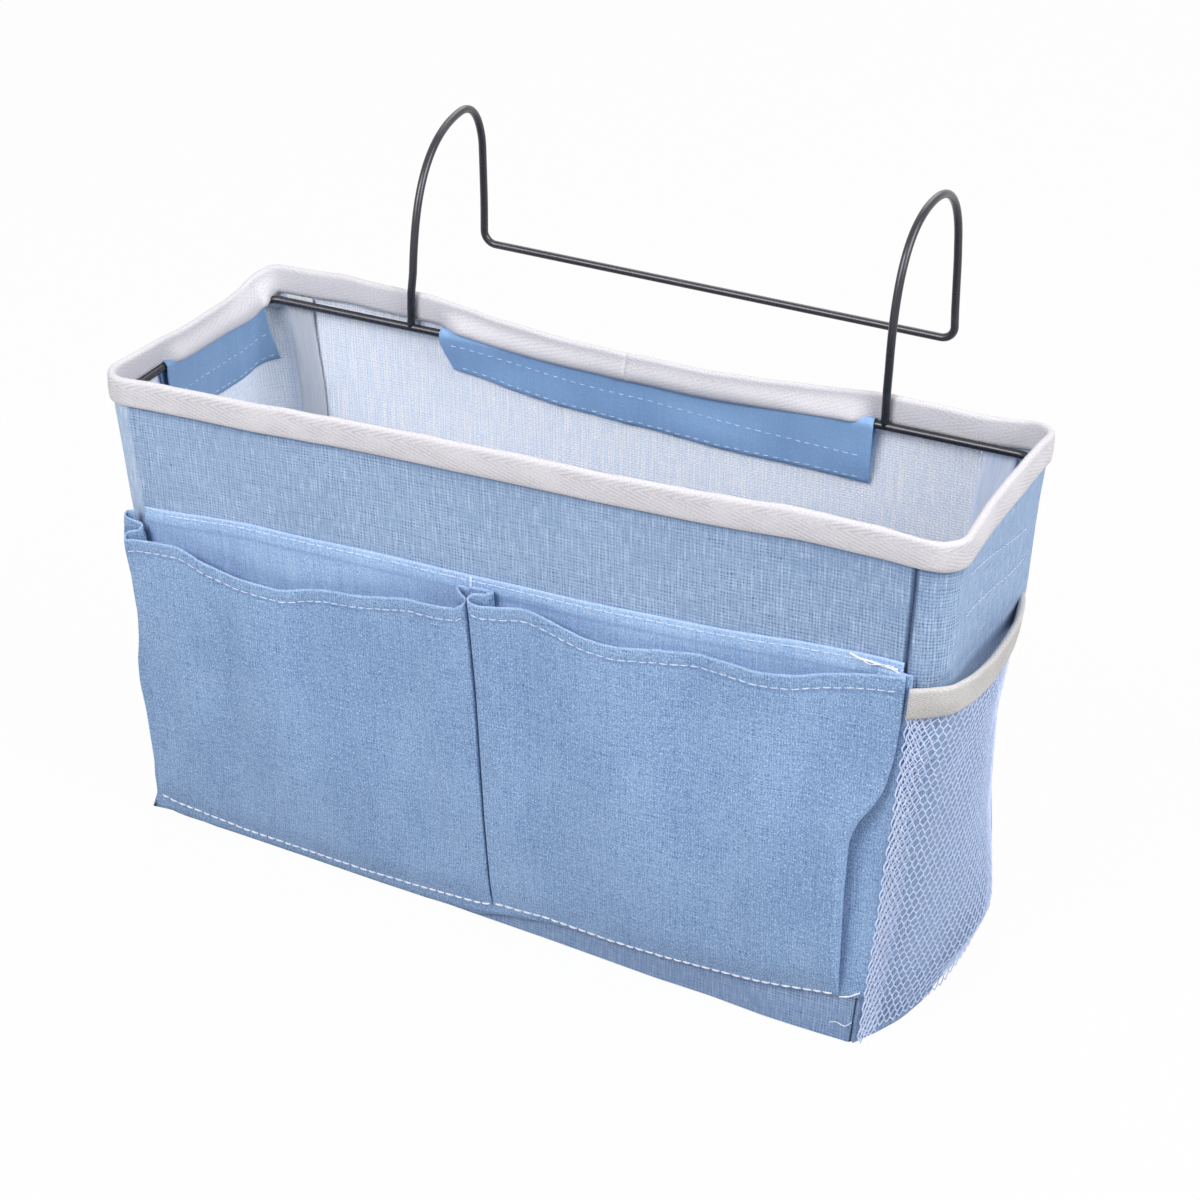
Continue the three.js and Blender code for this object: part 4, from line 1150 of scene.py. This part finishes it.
def net_point(height, share, lift, end):
    """Points of a net: the right one follows its plan, the left one lies closer, clear of the pockets."""
    if end < 0:
        o = outline_at(np.minimum(height, 170))
        low, high = o.turned + 3, o.turned + o.side - 4
        swell = ease(0, 0.4, share) * (1 - ease(0.7, 1, share))
        rise = 0.8 * ease(2, 24, height) + 0.2 * ease(30, 150, height)
        out = 0.9 + rise * (0.6 + 6.6 * swell) + lift
        return settle(wall_point(height, -(low + (high - low) * share), out))
    row = np.interp(height, net_heights, np.arange(len(net_heights)))
    column = np.clip(share, 0, 1) * (NET_STOPS - 1)
    r, c = np.minimum(row.astype(int), len(net_heights) - 2), np.minimum(column.astype(int), NET_STOPS - 2)
    v, u = (row - r)[..., None], (column - c)[..., None]
    # Eased from height to height, so that the net shows no sharp kink there
    v = v + 0.35 * (v * v * (3 - 2 * v) - v)
    near, far = (net_rows[k, c] * (1 - u) + net_rows[k, c + 1] * u for k in (r, r + 1))
    run = unit(net_rows[r, c + 1] - net_rows[r, c])
    plan = near * (1 - v) + far * v
    return stacked(plan[..., 0] + run[..., 1] * lift, plan[..., 1] - run[..., 0] * lift, height)


def knit_net(word, end, length):
    """Knitted threads: zigzag rows joined by short upright links, laid closer in the front margin."""
    rng = np.random.default_rng(17)
    cell, pitch, peak, rows = 4.1, 3.45, 1.1, 47
    halves = int(length / (cell / 2))
    i, j = np.meshgrid(np.arange(halves + 1), np.arange(rows), indexing="ij")
    share = (i / halves) ** 1.2
    height = 5 + j * pitch + peak * np.where((i + j) % 2 == 0, 1, -1)
    height = height + 1.2 * np.sin(share * 9 + 0.6) + 0.5 * np.sin(share * 23)
    height = height + rng.normal(0, 0.16, height.shape)
    share_there = np.clip(share + rng.normal(0, 0.14, height.shape) / length, 0, 1)
    under = height <= net_mouth(share) - 2
    links = []
    for a, b in np.argwhere(under):
        if a < halves and under[a + 1, b]:
            links.append((a, b, a + 1, b))
        if (a + b) % 2 == 0 and b + 1 < rows and under[a, b + 1]:
            links.append((a, b, a, b + 1))
    a, b, c, d = np.array(links).T
    points = net_point(height, share_there, 0.0, end)
    p, q = points[a, b], points[c, d]
    for up, on, margin in ((0.5, 0.9, 6), (0.2, 1.5, 3)):
        shift = net_point(height - pitch * up, share_there + on / length, 0.3, end)
        inside = a <= margin
        p = np.concatenate([p, shift[a, b][inside]])
        q = np.concatenate([q, shift[c, d][inside]])
    run = unit(q - p)
    side = unit(np.cross(facing(place_round((p + q) / 2)), run))
    thick = np.cross(run, side) * 0.24
    wide = side * np.where(np.arange(len(p)) < len(a), 0.33, 0.25)[:, None]
    p, q = p - run * 0.1, q + run * 0.1
    points = np.stack([at + corner for at in (p, q) for corner in (wide, thick, -wide, -thick)], 1)
    base = np.arange(len(p))[:, None] * 8
    faces = np.concatenate([base + [k, (k + 1) % 4, 4 + (k + 1) % 4, 4 + k] for k in range(4)])
    net = mesh_piece(f"{word}_net", points, faces, net_thread)
    sew_on(net, "net_cord", f"{word}_mesh_net", (length * MM, NET_CUT * MM), "hung", f"{word}_end_cloth",
           area=length * MM * (NET_CUT * MM) * COVERED_SHARE)


def bind_net(word, end):
    """The folded tape over the mouth of a net."""
    share = np.linspace(0, 1, 90)
    lift, drop, across = folded_section(middle=0, radius=1.0, foot=-12.5, top=-1.2, puff_out=0.3, puff_in=0)
    grid = net_point(net_mouth(share) + drop, share, lift, end)
    length = run_lengths(grid[7])
    lengths = stacked(length, across)
    if end < 0:
        grid, lengths = grid[:, ::-1], lengths[:, ::-1]
    tape = thick_cloth(f"{word}_net_tape", grid, lengths, 0.7, net_tape)
    sew_on(tape, "white_tape", f"{word}_net_binding", (length[-1] * MM, 2 * across[0, 0] * MM), "folded",
           f"{word}_net")


for word, end, length in (("right", 1, 111.0), ("left", -1, 88.0)):
    knit_net(word, end, length)
    bind_net(word, end)
